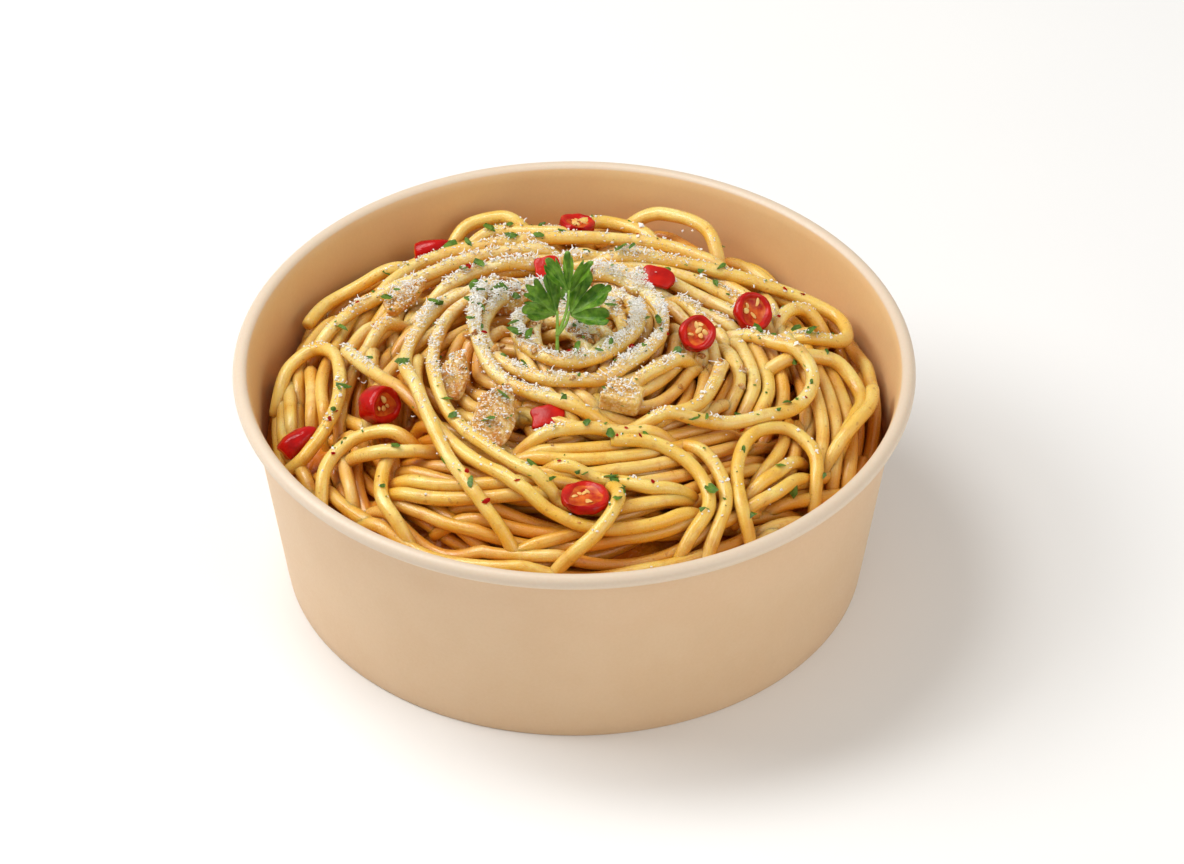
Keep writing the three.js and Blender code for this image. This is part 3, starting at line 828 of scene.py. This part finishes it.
# round tubes along many routes, as one mesh with an unrolled map
def strandMesh(routes, tops, sides, step):
    verts, faces, tones, unrolled = [], [], [], []
    around = np.linspace(-np.pi / 2, 1.5 * np.pi, sides, endpoint=False)[:, None]
    ring = np.arange(sides)
    after = (ring + 1) % sides
    corners = [(step, 0), (step, 1 / sides), (0, 1 / sides), (0, 0)]
    first = 0
    for path in routes:
        path = smoothRoute(path, step)
        count = len(path)
        along = unitRows(np.gradient(path, axis=0))
        across = unitRows(np.cross(along, (0, 0, 1)))
        up = np.cross(across, along)
        waves = strand["waves"] * np.sin(np.arange(count) * step * strand["waveTurn"] + rng.uniform(0, 6))
        radius = strand["radius"] * (1 + waves + rng.normal(0, strand["sizeSpread"]))
        radius[[0, -1]] *= strand["endSize"]
        circle = np.cos(around) * across[:, None] + np.sin(around) * up[:, None]
        verts.append((path[:, None] + radius[:, None, None] * circle).reshape(-1, 3))
        start = first + sides * np.arange(count - 1)[:, None]
        quads = [start + sides + ring, start + sides + after, start + after, start + ring]
        faces += np.stack(quads, axis=2).reshape(-1, 4).tolist()
        faces += [(first + ring).tolist(), (first + sides * (count - 1) + ring)[::-1].tolist()]
        lengths = np.arange(count - 1) * step + rng.uniform(0, 900)
        length, turn = np.meshgrid(lengths, ring / sides, indexing="ij")
        quads = [np.stack([length + ahead, turn + over], axis=2) for ahead, over in corners]
        unrolled += [np.stack(quads, axis=2).reshape(-1, 2), np.zeros((2 * sides, 2))]
        tones.append(np.full(count * sides, rng.uniform(0, 1)))
        first += count * sides
    places = np.vstack(verts)
    mesh = meshFromLists(places, faces)
    mesh.uv_layers.new(name="strand").data.foreach_set("uv", np.vstack(unrolled).astype(np.float32).ravel())
    normals = np.empty(len(places) * 3, np.float32)
    mesh.vertices.foreach_get("normal", normals)
    upward = normals[2::3]
    # depth under the local tops, for the painted shade in the gaps (partly sauce)
    sunk = gridValue(tops, places) - places[:, 2]
    sunk = np.clip((sunk - tint["creviceFrom"]) / tint["creviceFade"], 0, 1)
    dust = np.clip(upward * tint["dustSlope"] - tint["dustLess"], 0, tint["dustMost"])
    setAttribute(mesh, "tone", np.concatenate(tones))
    # sides and undersides, by how far they face away from up: partly oil, partly painted shade
    setAttribute(mesh, "flankOilAndShade", np.clip((tint["flankFrom"] - upward) / tint["flankFade"], 0, 1))
    setAttribute(mesh, "creviceOilAndShade", tint["creviceMost"] * sunk)
    setAttribute(mesh, "dust", dust * (1 - sunk) ** 2 * cheeseDensity(places))
    return mesh


def makeCore(material):
    radii = np.linspace(0, heap["edgeRadius"], 14)
    outline = [(radius, moundHeight(radius, 0) - heap["coreDepth"]) for radius in radii]
    foot, low = insideRadius(floorHeight) - 2 * heap["clearance"], floorHeight + heap["clearance"]
    bm = bmesh.new()
    drawOutline(bm, [*outline, (foot, low), (0, low)])
    spinOutline(bm, heap["coreSides"])
    meshPiece("noodleCore", meshFromBmesh(bm), [material])


# grated cheese in small drifts, thickest round the sprig
cheese = {
    "middle": (-3, 14),
    "spread": (26, 18),
    "depth": 1.1,  # how far under the tops of the strands it may lie
    "drifts": 330,
    "driftSize": 1.7,
    "driftDepth": 1.4,
    "crumbs": 48,  # in each drift
    "loose": 2200,
    "garlic": 130,  # crumbs on each of the large garlic pieces
    "garlicSpread": 3.4,  # divides the width of the piece
    "garlicDepth": 9,
    "stray": 420,  # crumbs all over the heap
    "shreds": 1100,
}


def cheeseDensity(places):
    squared = ((places[:, :2] - cheese["middle"]) / cheese["spread"]) ** 2
    return np.exp(-squared.sum(axis=1) / 2)


def placesRound(middle, spread, count):
    return rng.normal(0, 1, (count, 2)) * spread + middle


# leaves out the places that lie in a gap deeper than this under the tops
def keepOnTop(surface, tops, places, depth):
    places = places[np.linalg.norm(places, axis=1) < heap["crumbReach"]]
    return places[gridValue(tops, places) - gridValue(surface, places) < depth]


def cheesePlaces(surface, tops, count):
    places = placesRound(cheese["middle"], cheese["spread"], 4 * count)
    return keepOnTop(surface, tops, places, cheese["depth"])[:count]


def looseTurn(tilt):
    return Euler((rng.normal(0, tilt), rng.normal(0, tilt), rng.uniform(0, 2 * pi))).to_matrix()


shred = {
    "lengths": (4, 0.36),  # form and scale of their spread
    "widths": (0.14, 0.34),
    "thick": 0.16,
    "rings": 6,
    "tilt": 0.2,
    "bend": 0.9,  # share of the length
    "shorter": 0.3,  # by this share of the bend
    "lift": 0.4,
    "taper": 1.2,
    "feel": 0.8,
    "pile": (0.6, -0.4),  # radius of the ball that raises the surface, and how far above it sits
}


# thin curled slivers, lying about flat on the surface
def shredMesh(surface, places):
    verts, faces = [], []
    lengths = rng.gamma(*shred["lengths"], len(places))
    widths = rng.uniform(*shred["widths"], len(places))
    last = 4 * (shred["rings"] - 1)
    for (x, y), length, width in zip(places, lengths, widths):
        turn = looseTurn(shred["tilt"])
        height = surfaceHeight(surface, x, y, shred["feel"]) + shred["thick"] / 2
        bend, lift = rng.normal(0, shred["bend"], 2) * length
        first = len(verts)
        for share in np.linspace(-0.5, 0.5, shred["rings"]):
            taper = 1 - shred["taper"] * share**2
            along = share * (length - shred["shorter"] * abs(bend))
            middle = Vector((along, bend * share**2, shred["lift"] * abs(lift) * share**2))
            for side, level in ((-0.5, -0.5), (0.5, -0.5), (0.5, 0.5), (-0.5, 0.5)):
                point = middle + Vector((0, side * width, level * shred["thick"])) * taper
                verts.append(Vector((x, y, height)) + turn @ point)
        for ring in range(first, first + last, 4):
            faces += [(ring + i, ring + (i + 1) % 4, ring + 4 + (i + 1) % 4, ring + 4 + i) for i in range(4)]
        faces += [[first + i for i in (3, 2, 1, 0)], [first + last + i for i in range(4)]]
        raiseSurface(surface, x, y, shred["pile"][0], height + shred["pile"][1])
    return meshFromLists(verts, faces)


crumb = {
    "sizes": (4, 0.075),  # form and scale of their spread
    "least": 0.13,
    "strayMore": (0.1, 0.6),
    "corners": ((1, 0, 0), (0, 1, 0), (-1, 0, 0), (0, -1, 0), (0, 0, 1), (0, 0, -1)),
    "rough": (0.6, 1.3),
    "flat": 0.65,
    "rise": 0.15,  # share of the size
    "feel": 0.6,
    "pile": (0.6, -0.35),
}


# rough little lumps that pile up
def crumbMesh(surface, places, sizes):
    verts, faces = [], []
    for (x, y), size in zip(places, sizes):
        height = surfaceHeight(surface, x, y, crumb["feel"]) + crumb["rise"] * size
        turn = Euler(rng.uniform(0, 6, 3)).to_matrix()
        first = len(verts)
        for corner in crumb["corners"]:
            point = turn @ Vector(corner) * (size / 2 * rng.uniform(*crumb["rough"]))
            point.z *= crumb["flat"]
            verts.append(Vector((x, y, height)) + point)
        for i in range(4):
            here, after = first + i, first + (i + 1) % 4
            faces += [(here, after, first + 4), (after, here, first + 5)]
        raiseSurface(surface, x, y, crumb["pile"][0], height + crumb["pile"][1])
    return meshFromLists(verts, faces)


def makeCheese(surface, tops, material):
    drifts = cheesePlaces(surface, tops, cheese["drifts"])
    drifts = np.repeat(drifts, cheese["crumbs"], axis=0)
    drifts = placesRound(drifts, cheese["driftSize"], len(drifts))
    crumbs = [keepOnTop(surface, tops, drifts, cheese["driftDepth"])]
    crumbs.append(cheesePlaces(surface, tops, cheese["loose"]))
    for name in ("garlic_slice", "garlic_chip", "garlic_back", "garlic_nest"):
        middle = boxOf(name).mean(axis=0)[:2]
        around = placesRound(middle, toppings[name]["width"] / cheese["garlicSpread"], cheese["garlic"])
        crumbs.append(keepOnTop(surface, tops, around, cheese["garlicDepth"]))
    crumbs = np.vstack([*crumbs, scatterPlaces(surface, tops, cheese["stray"])])
    sizes = rng.gamma(*crumb["sizes"], len(crumbs)) + crumb["least"]
    sizes[-cheese["stray"]:] += rng.uniform(*crumb["strayMore"], cheese["stray"])
    meshPiece("cheeseCrumbs", crumbMesh(surface, crumbs, sizes), [material], smooth=False)
    shreds = cheesePlaces(surface, tops, cheese["shreds"])
    meshPiece("cheeseShreds", shredMesh(surface, shreds), [material])


# chopped herbs, pepper and chilli bits
herbs = {
    "reach": 63,
    "depth": 1.6,
    "sizeSpread": (1.6, 3),
    "tilt": 0.3,
    "corners": (6, 9),
    "slender": (0.35, 0.8),
    "fold": 0.12,
    "jitter": 0.25,  # of the angle of a corner
    "out": (0.38, 0.6),
    "feel": 0.9,
    "rise": 0.25,
    "dome": 0.05,
    "vein": 0.4,
    "kinds": {
        "herbLeaves": {"count": 130, "sizes": (1.4, 5.2), "thick": 0.22},
        "herbSpecks": {"count": 190, "sizes": (0.5, 1.3), "thick": 0.25},
        "pepper": {"count": 80, "sizes": (0.4, 0.9), "thick": 0.35},
        "chilliBits": {"count": 34, "sizes": (0.9, 2.6), "thick": 0.7},
    },
}


def scatterPlaces(surface, tops, count):
    radius = herbs["reach"] * np.sqrt(rng.uniform(0, 1, 6 * count))
    angle = rng.uniform(0, 2 * np.pi, 6 * count)
    places = np.column_stack([radius * np.cos(angle), radius * np.sin(angle)])
    return keepOnTop(surface, tops, places, herbs["depth"])[:count]


# torn flat flakes: an uneven outline with a little thickness, folded along its length
def flakeMesh(surface, places, sizes, thickness):
    bm = bmesh.new()
    vein = bm.verts.layers.float.new("vein")
    for (x, y), size in zip(places, sizes):
        turn = looseTurn(herbs["tilt"])
        base = Vector((x, y, surfaceHeight(surface, x, y, herbs["feel"]) + herbs["rise"]))
        corners = rng.integers(*herbs["corners"])
        slender = rng.uniform(*herbs["slender"])
        fold = rng.normal(0, herbs["fold"])
        ring = []
        for index in range(corners):
            angle = 2 * pi * (index + rng.uniform(-herbs["jitter"], herbs["jitter"])) / corners
            reach = size * rng.uniform(*herbs["out"])
            along, across = reach * cos(angle), slender * reach * sin(angle)
            point = Vector((along, across, fold * abs(sin(angle)) * size))
            ring.append(bm.verts.new(base + turn @ point))
        middle = bm.verts.new(base + turn @ Vector((0, 0, herbs["dome"] * size)))
        middle[vein] = herbs["vein"]
        for first, second in zip(ring, ring[1:] + ring[:1]):
            bm.faces.new((first, second, middle))
    bmesh.ops.solidify(bm, geom=list(bm.faces), thickness=thickness)
    return meshFromBmesh(bm)


def makeHerbs(surface, tops, materials):
    for (name, kind), material in zip(herbs["kinds"].items(), materials):
        places = scatterPlaces(surface, tops, kind["count"])
        low, high = kind["sizes"]
        sizes = low + (high - low) * rng.beta(*herbs["sizeSpread"], len(places))
        meshPiece(name, flakeMesh(surface, places, sizes, kind["thick"]), [material], smooth=False)


# browned garlic bits in the gaps of the swirl
garlicBits = {
    "count": 110,
    "middle": (-3, 8),
    "spread": (19, 15),
    "nest": (-2.5, 2),  # under the sprig
    "nestSpread": (4.5, 3.5),
    "sizes": (0.5, 1.4),
    "depth": 7,
    "rise": 0.3,
    "widths": (0.6, 1.2),
    "flat": 0.5,
    "rough": 0.35,
    "lumps": 1.1,
    "seed": 5,
}


def makeGarlicBits(surface, tops, material):
    count = garlicBits["count"]
    places = placesRound(garlicBits["middle"], garlicBits["spread"], 6 * count)
    places[::3] = placesRound(garlicBits["nest"], garlicBits["nestSpread"], len(places[::3]))
    bm = bmesh.new()
    for x, y in keepOnTop(surface, tops, places, garlicBits["depth"])[:count]:
        size = rng.uniform(*garlicBits["sizes"])
        height = surfaceHeight(surface, x, y, size) + garlicBits["rise"] * size
        turn = Euler(rng.uniform(0, 6, 3)).to_matrix().to_4x4()
        shape = Matrix.Diagonal((*rng.uniform(*garlicBits["widths"], 2), garlicBits["flat"], 1))
        seat = Matrix.Translation((x, y, height)) @ turn @ shape
        bmesh.ops.create_icosphere(bm, subdivisions=2, radius=size, matrix=seat)
    unevenly(bm, garlicBits)
    meshPiece("garlicBits", meshFromBmesh(bm), [material])


# toppings, each in the place of its own solid
toppings = {
    "chilli_ring": {"kind": "slice", "diameter": 8.2, "thick": 3, "tilt": (38, 6, 20)},
    "chilli_right": {"kind": "slice", "diameter": 9, "thick": 2.6, "tilt": (30, 24, 60)},
    "chilli_front": {"kind": "slice", "diameter": 10.6, "thick": 2, "tilt": (-4, 2, 0)},
    "chilli_left": {"kind": "slice", "diameter": 8.4, "thick": 5.4, "tilt": (51, 41, 40)},
    "chilli_back": {"kind": "slice", "diameter": 8.2, "thick": 3, "tilt": (-14, 8, 90), "covered": True},
    "chilli_tail": {"kind": "tip", "diameter": 5.6, "length": 9, "tilt": (-38, 52, 0)},
    "chilli_back_left": {"kind": "tip", "diameter": 4.6, "length": 8.5, "tilt": (0, 78, 0), "covered": True},
    "chilli_middle": {"kind": "flake", "length": 7, "width": 5, "tilt": (24, 0, 10), "covered": True},
    "chilli_near_sprig": {"kind": "flake", "length": 5.4, "width": 5, "tilt": (30, 0, 15)},
    "chilli_square": {"kind": "flake", "length": 7, "width": 5, "tilt": (26, 10, -12)},
    "garlic_cube": {"kind": "cube", "length": 9.4, "width": 6.6, "thick": 5, "tilt": (16, 6, -10)},
    "garlic_slice": {"kind": "garlic", "length": 13, "width": 10, "thick": 1.7, "tilt": (30, 6, 66)},
    "garlic_chip": {"kind": "garlic", "length": 10.5, "width": 7, "thick": 1.7, "tilt": (26, -12, 70)},
    "garlic_nest": {"kind": "garlic", "length": 8, "width": 6.4, "thick": 1.7, "tilt": (24, 8, 20)},
    "garlic_back": {"kind": "garlic", "length": 10, "width": 5.6, "thick": 1.7, "tilt": (20, -16, 30)},
}


def toppingTurn(name):
    lean, roll, spin = (radians(angle) for angle in toppings[name]["tilt"])
    return Matrix.Rotation(lean, 4, "X") @ Matrix.Rotation(roll, 4, "Y") @ Matrix.Rotation(spin, 4, "Z")


chilli = {
    "wall": 1.2,
    "webDepth": 0.8,  # the web in the hollow lies this far under the cut
    "leastWeb": 0.3,
    "sides": 40,
    "lobes": (0.1, 0.08),  # shares by which the hollow swells twice and three times round
    "seeds": (4, 8),
    "seedOut": (0.15, 0.5),  # share of the radius
    "seedSizes": ((0.6, 0.4), (1, 0.65)),
    "seedThick": 0.25,
    "tipSides": 28,
    # shares of the radius and the length
    "tipOutline": [(0, -0.42), (0.5, -0.43), (0.7, -0.5), (0.86, -0.47), (0.98, -0.3), (1, -0.12),
                   (0.9, 0.1), (0.7, 0.28), (0.42, 0.42), (0.18, 0.49), (0, 0.5)],
    "tipCut": -0.44,
}


def sliceShape(size):
    radius, half = size["diameter"] / 2, size["thick"] / 2
    hollow, web = radius - chilli["wall"], max(half - chilli["webDepth"], chilli["leastWeb"])
    upper = [(0, web), (hollow - 0.3, web), (hollow, half * 0.8), (radius - 0.7, half)]
    upper += [(radius - 0.2, half * 0.9), (radius, half * 0.4)]
    bm = bmesh.new()
    drawOutline(bm, [(reach, -height) for reach, height in upper] + upper[::-1])
    spinOutline(bm, chilli["sides"])
    for face in bm.faces:
        reach = face.calc_center_median().xy.length
        face.material_index = 0 if reach > radius - 0.3 else 1 if reach > hollow - 0.2 else 2
    # the hollow isn't quite round
    two, three = chilli["lobes"]
    turns = rng.uniform(0, 6, 2)
    for vert in bm.verts:
        if 0.1 < vert.co.xy.length < radius - 0.5:
            angle = atan2(vert.co.y, vert.co.x)
            vert.co.xy *= 1 + two * sin(2 * angle + turns[0]) + three * sin(3 * angle + turns[1])
    for _ in range(rng.integers(*chilli["seeds"])):
        addSeed(bm, radius, web)
    return bm


def addSeed(bm, radius, web):
    angle = rng.uniform(0, 2 * pi)
    reach = radius * rng.uniform(*chilli["seedOut"])
    place = (reach * cos(angle), reach * sin(angle), web + rng.uniform(0, 0.2))
    turn = Euler((rng.normal(0, 0.25), rng.normal(0, 0.25), angle + rng.normal(0, 0.5))).to_matrix().to_4x4()
    shape = Matrix.Diagonal((*rng.uniform(*chilli["seedSizes"]), chilli["seedThick"], 1))
    seat = Matrix.Translation(place) @ turn @ shape
    seed = bmesh.ops.create_uvsphere(bm, u_segments=14, v_segments=8, radius=1, matrix=seat)
    for vert in seed["verts"]:
        for face in vert.link_faces:
            face.material_index = 3


# a pointed end, with its cut side below
def tipShape(size):
    radius, length = size["diameter"] / 2, size["length"]
    bm = bmesh.new()
    drawOutline(bm, [(reach * radius, height * length) for reach, height in chilli["tipOutline"]])
    spinOutline(bm, chilli["tipSides"])
    for face in bm.faces:
        face.material_index = int(face.calc_center_median().z < chilli["tipCut"] * length)
    return bm


slabs = {
    "garlic": {"corners": 40, "uneven": 0.1, "bend": 0.028, "square": 2},
    "flake": {"corners": 32, "uneven": 0.07, "bend": -0.06, "square": 5, "thick": 1.3, "skin": -0.5},
    "insets": (0.5, 0.9, 1),
    "soft": 0.3,  # share of the thickness
    "sharp": 1.2,  # radians between the faces of the edges that are softened
    "browned": (0.62, 0.96),  # shares of the way out
}


# a flat piece cut to an uneven outline, softened at its edges
def slabShape(size):
    slab = slabs[size["kind"]]
    thick, uneven, square = size.get("thick", slab.get("thick")), slab["uneven"], slab["square"]
    bm = bmesh.new()
    edge = bm.verts.layers.float.new("edge")
    bmesh.ops.create_circle(bm, cap_ends=True, segments=slab["corners"], radius=1)
    for vert in bm.verts:
        angle = atan2(vert.co.y, vert.co.x)
        along, across = cos(angle), sin(angle)
        swell = sin(2 * angle + 0.6) + 0.6 * cos(3 * angle) + 0.5 * sin(5 * angle + 1.3)
        out = (1 + uneven * swell) * (abs(along) ** square + abs(across) ** square) ** (-1 / square) / 2
        vert.co = Vector((size["length"] * out * along, size["width"] * out * across, -thick / 2))
    for inset in slabs["insets"]:
        inner = [face for face in bm.faces if len(face.verts) > 4]
        bmesh.ops.inset_region(bm, faces=inner, thickness=inset)
    thicken(bm, thick)
    soften(bm, [item for item in bm.edges if item.calc_face_angle(0) > slabs["sharp"]], thick * slabs["soft"])
    low, high = slabs["browned"]
    for vert in bm.verts:
        out = hypot(vert.co.x / size["length"], vert.co.y / size["width"]) * 2
        vert[edge] = min(1, max(0, (out - low) / (high - low)))
        vert.co.z += slab["bend"] * vert.co.x**2
    for face in bm.faces:
        face.material_index = int(face.calc_center_median().z < slab.get("skin", -np.inf))
    return bm


cube = {
    "corners": [(-0.5, -0.42), (0.42, -0.5), (0.5, 0.28), (0.08, 0.5), (-0.3, 0.4)],
    "soft": 0.7,
    "browned": 0.25,
}


def cubeShape(size):
    bm = bmesh.new()
    edge = bm.verts.layers.float.new("edge")
    low = -size["thick"] / 2
    bm.faces.new([bm.verts.new((x * size["length"], y * size["width"], low)) for x, y in cube["corners"]])
    thicken(bm, size["thick"])
    soften(bm, list(bm.edges), cube["soft"])
    bmesh.ops.triangulate(bm, faces=bm.faces)
    bmesh.ops.subdivide_edges(bm, edges=bm.edges, cuts=3, use_grid_fill=True)
    for vert in bm.verts:
        vert[edge] = cube["browned"]
    return bm


kinds = {
    "slice": {"shape": sliceShape, "ending": "Slice", "slot": "chilli", "rough": 0.32, "lumps": 2},
    "tip": {"shape": tipShape, "ending": "Piece", "slot": "chilli", "rough": 0.6, "lumps": 2.6},
    "flake": {"shape": slabShape, "ending": "Piece", "slot": "chilli", "rough": 0.3, "lumps": 2.2},
    "cube": {"shape": cubeShape, "ending": "Fried", "slot": "garlic", "rough": 0.28, "lumps": 2.4, "seed": 3},
    "garlic": {"shape": slabShape, "ending": "Fried", "slot": "garlic", "rough": 0.5, "lumps": 2.6},
}


def makeTopping(name, size, materials):
    kind = kinds[size["kind"]]
    bm = kind["shape"](size)
    unevenly(bm, {"seed": len(name), **kind})
    seat = Matrix.Translation(boxOf(name).mean(axis=0)) @ toppingTurn(name)
    bmesh.ops.transform(bm, matrix=seat, verts=bm.verts)
    pieceName = name.replace("_", "") + kind["ending"]
    return meshPiece(pieceName, meshFromBmesh(bm), materials, [name])


# parsley sprig
sprig = {
    "at": (-3.7, 1.5),
    "lean": 54,
    "buried": 5,
    "stalkRadius": 0.5,
    "stalkSides": 10,
    "stalkTaper": 0.35,
    "stalkVein": 0.75,
    "thickness": 0.25,
    "rise": 0.25,  # of the leaflets over the stalk
    "across": 121,  # points over a leaflet and out along it
    "outward": 16,
    "lobes": 3,
    "lobeDepth": 0.5,
    "scallops": 3,  # round teeth on each lobe
    "scallopDepth": 0.22,
    "sideDepth": 0.26,
    "ribFold": 1.6,
    "toothFold": 0.9,
    "wave": 1.2,
    "waves": 7,
    "ruffle": 0.8,
    "ruffles": 23,
    "ribWidth": 0.9,
    "branchVein": 0.25,
    "veinFade": 0.6,
    # headings are degrees to the left of straight up, sizes are millimetres
    "leaflets": [
        {"from": (0, 4.2), "length": 9.6, "spread": 58, "heading": 54, "curl": 0.05, "roll": 24},
        {"from": (2.6, 8.8), "length": 9.4, "spread": 50, "heading": -4, "curl": 0.03, "roll": -20},
        {"from": (2.6, 4.2), "length": 11, "spread": 66, "heading": -66, "curl": 0.04, "roll": -28},
    ],
}


# 0 at the ends of a share and 1 in its middle, with a round top
def roundTooth(share, power):
    return (1 - abs(2 * share - 1) ** power) ** 0.55


# 1 at the full height of a tooth, less by the depth between the teeth
def notch(depth, tooth):
    return 1 - depth * (1 - tooth)


def joinRings(bm, rings, closed):
    for first, second in zip(rings, rings[1:]):
        for i in range(len(first) if closed else len(first) - 1):
            after = (i + 1) % len(first)
            bm.faces.new((first[i], first[after], second[after], second[i]))


# a fan of lobes with round teeth, each lobe folded along its rib
def addLeaflet(bm, vein, leaf):
    heading, roll, half = (radians(leaf[key]) for key in ("heading", "roll", "spread"))
    turn = Matrix.Rotation(heading, 3, "Z") @ Matrix.Rotation(roll, 3, "Y")
    base = Vector((*leaf["from"], sprig["rise"]))
    rows = []
    for share in np.linspace(0, 1, sprig["across"]).tolist():
        angle = half * (2 * share - 1)
        inLobe = share * sprig["lobes"] % 1
        inScallop = inLobe * sprig["scallops"] % 1
        scallop = roundTooth(inScallop, 2)
        reach = leaf["length"] * notch(sprig["sideDepth"], cos(angle))
        reach *= notch(sprig["lobeDepth"], roundTooth(inLobe, 2.4)) * notch(sprig["scallopDepth"], scallop)
        rib, branch = abs(2 * inLobe - 1), abs(2 * inScallop - 1)
        row = []
        for out in np.linspace(0.03, 1, sprig["outward"]).tolist():
            far = out * reach
            fold = sprig["ribFold"] * rib * out**1.5 - sprig["toothFold"] * scallop * out**3
            fold += sprig["wave"] * out**2 * sin(sprig["waves"] * angle + leaf["heading"])
            fold += sprig["ruffle"] * out**4 * sin(sprig["ruffles"] * angle) + leaf["curl"] * far**2
            point = Vector((-far * sin(angle), far * cos(angle), fold))
            vert = bm.verts.new(turn @ point + base)
            veins = max(0, 1 - rib * far / sprig["ribWidth"], sprig["branchVein"] - 2 * branch * out)
            vert[vein] = veins * (1 - sprig["veinFade"] * out)
            row.append(vert)
        rows.append(row)
    joinRings(bm, rows, False)


def addStalk(bm, vein, points, radius):
    route = smoothRoute(points, 0.5)
    upright = Matrix.Rotation(pi / 2, 4, "X")
    rings = []
    for index, point in enumerate(route):
        thin = radius * (1 - sprig["stalkTaper"] * index / len(route))
        seat = Matrix.Translation(point) @ upright
        ring = bmesh.ops.create_circle(bm, segments=sprig["stalkSides"], radius=thin, matrix=seat)["verts"]
        for vert in ring:
            vert[vein] = sprig["stalkVein"]
        rings.append(ring)
    joinRings(bm, rings, True)
    bm.faces.new(rings[0])
    bm.faces.new(rings[-1])


def makeSprig(material):
    bm = bmesh.new()
    vein = bm.verts.layers.float.new("vein")
    for leaf in sprig["leaflets"]:
        addLeaflet(bm, vein, leaf)
    bmesh.ops.solidify(bm, geom=list(bm.faces), thickness=sprig["thickness"])
    radius = sprig["stalkRadius"]
    addStalk(bm, vein, [(0, -sprig["buried"], 0), (0, -1, 0), (0, radius, 0)], radius)
    for leaf in sprig["leaflets"]:
        x, y = leaf["from"]
        points = [(0, -radius, 0), (x * 0.75, y * 0.55, 0.1), (x, y + 1.5 * radius, sprig["rise"])]
        addStalk(bm, vein, points, radius * 0.85)
    bmesh.ops.transform(bm, matrix=Matrix.Rotation(radians(sprig["lean"]), 4, "X"), verts=bm.verts)
    lowest = min(vert.co.z for vert in bm.verts)
    foot = (*sprig["at"], boxOf("parsley_sprig")[0][2] - lowest)
    bmesh.ops.translate(bm, vec=foot, verts=bm.verts)
    meshPiece("parsleySprig", meshFromBmesh(bm), [material], ["parsley_sprig"])


addCamera()
addLight()
addFloor()
makeBowl(paperMaterial())

noodle = noodleMaterial()
heroes = layHeap(moundHeight(gridX, gridY))
under = layFilling()
for name, size in toppings.items():
    if not size.get("covered"):
        pressUnder(under, name)
surface = moundHeight(gridX, gridY) - heap["coreDepth"]
for route in heroes + under:
    raiseRoute(surface, route)
tops = localTops(surface)
print("laid", len(heroes), "strands over", len(under))
meshPiece("noodleStrands", strandMesh(heroes, tops, strand["sides"], strand["step"]), [noodle])
meshPiece("noodleFilling", strandMesh(under, tops, filling["sides"], filling["step"]), [noodle])
makeCore(sauceMaterial())

red = chilliMaterial("chilliSkin", srgb(196, 10, 6), srgb(160, 4, 4), 0.22)
flesh = chilliMaterial("chilliFlesh", srgb(206, 30, 12), srgb(176, 14, 8), 0.28)
membrane = chilliMaterial("chilliMembrane", srgb(226, 110, 36), srgb(178, 24, 8), 0.34)
seeds = chilliMaterial("chilliSeed", srgb(246, 208, 132), srgb(234, 170, 90), 0.35)
fried = garlicMaterial("garlicFried", srgb(242, 212, 128), srgb(216, 164, 70))
looks = {
    "slice": [red, flesh, membrane, seeds],
    "tip": [red, membrane],
    "flake": [flesh, red],
    "cube": [fried],
    "garlic": [fried],
}
for name, size in toppings.items():
    piece = makeTopping(name, size, looks[size["kind"]])
    if fried in looks[size["kind"]]:
        coverPiece(surface, piece)
makeSprig(leafMaterial("parsleyLeaf", srgb(160, 208, 66), srgb(78, 142, 28)))
makeGarlicBits(surface, tops, garlicMaterial("garlicBrowned", srgb(210, 154, 74), srgb(150, 86, 28)))
makeCheese(surface, tops, cheeseMaterial())
herbLeaf = leafMaterial("herbLeaf", srgb(124, 168, 50), srgb(64, 114, 26))
pepper = leafMaterial("pepper", srgb(70, 50, 28), srgb(38, 28, 16))
makeHerbs(surface, tops, [herbLeaf, herbLeaf, pepper, flesh])
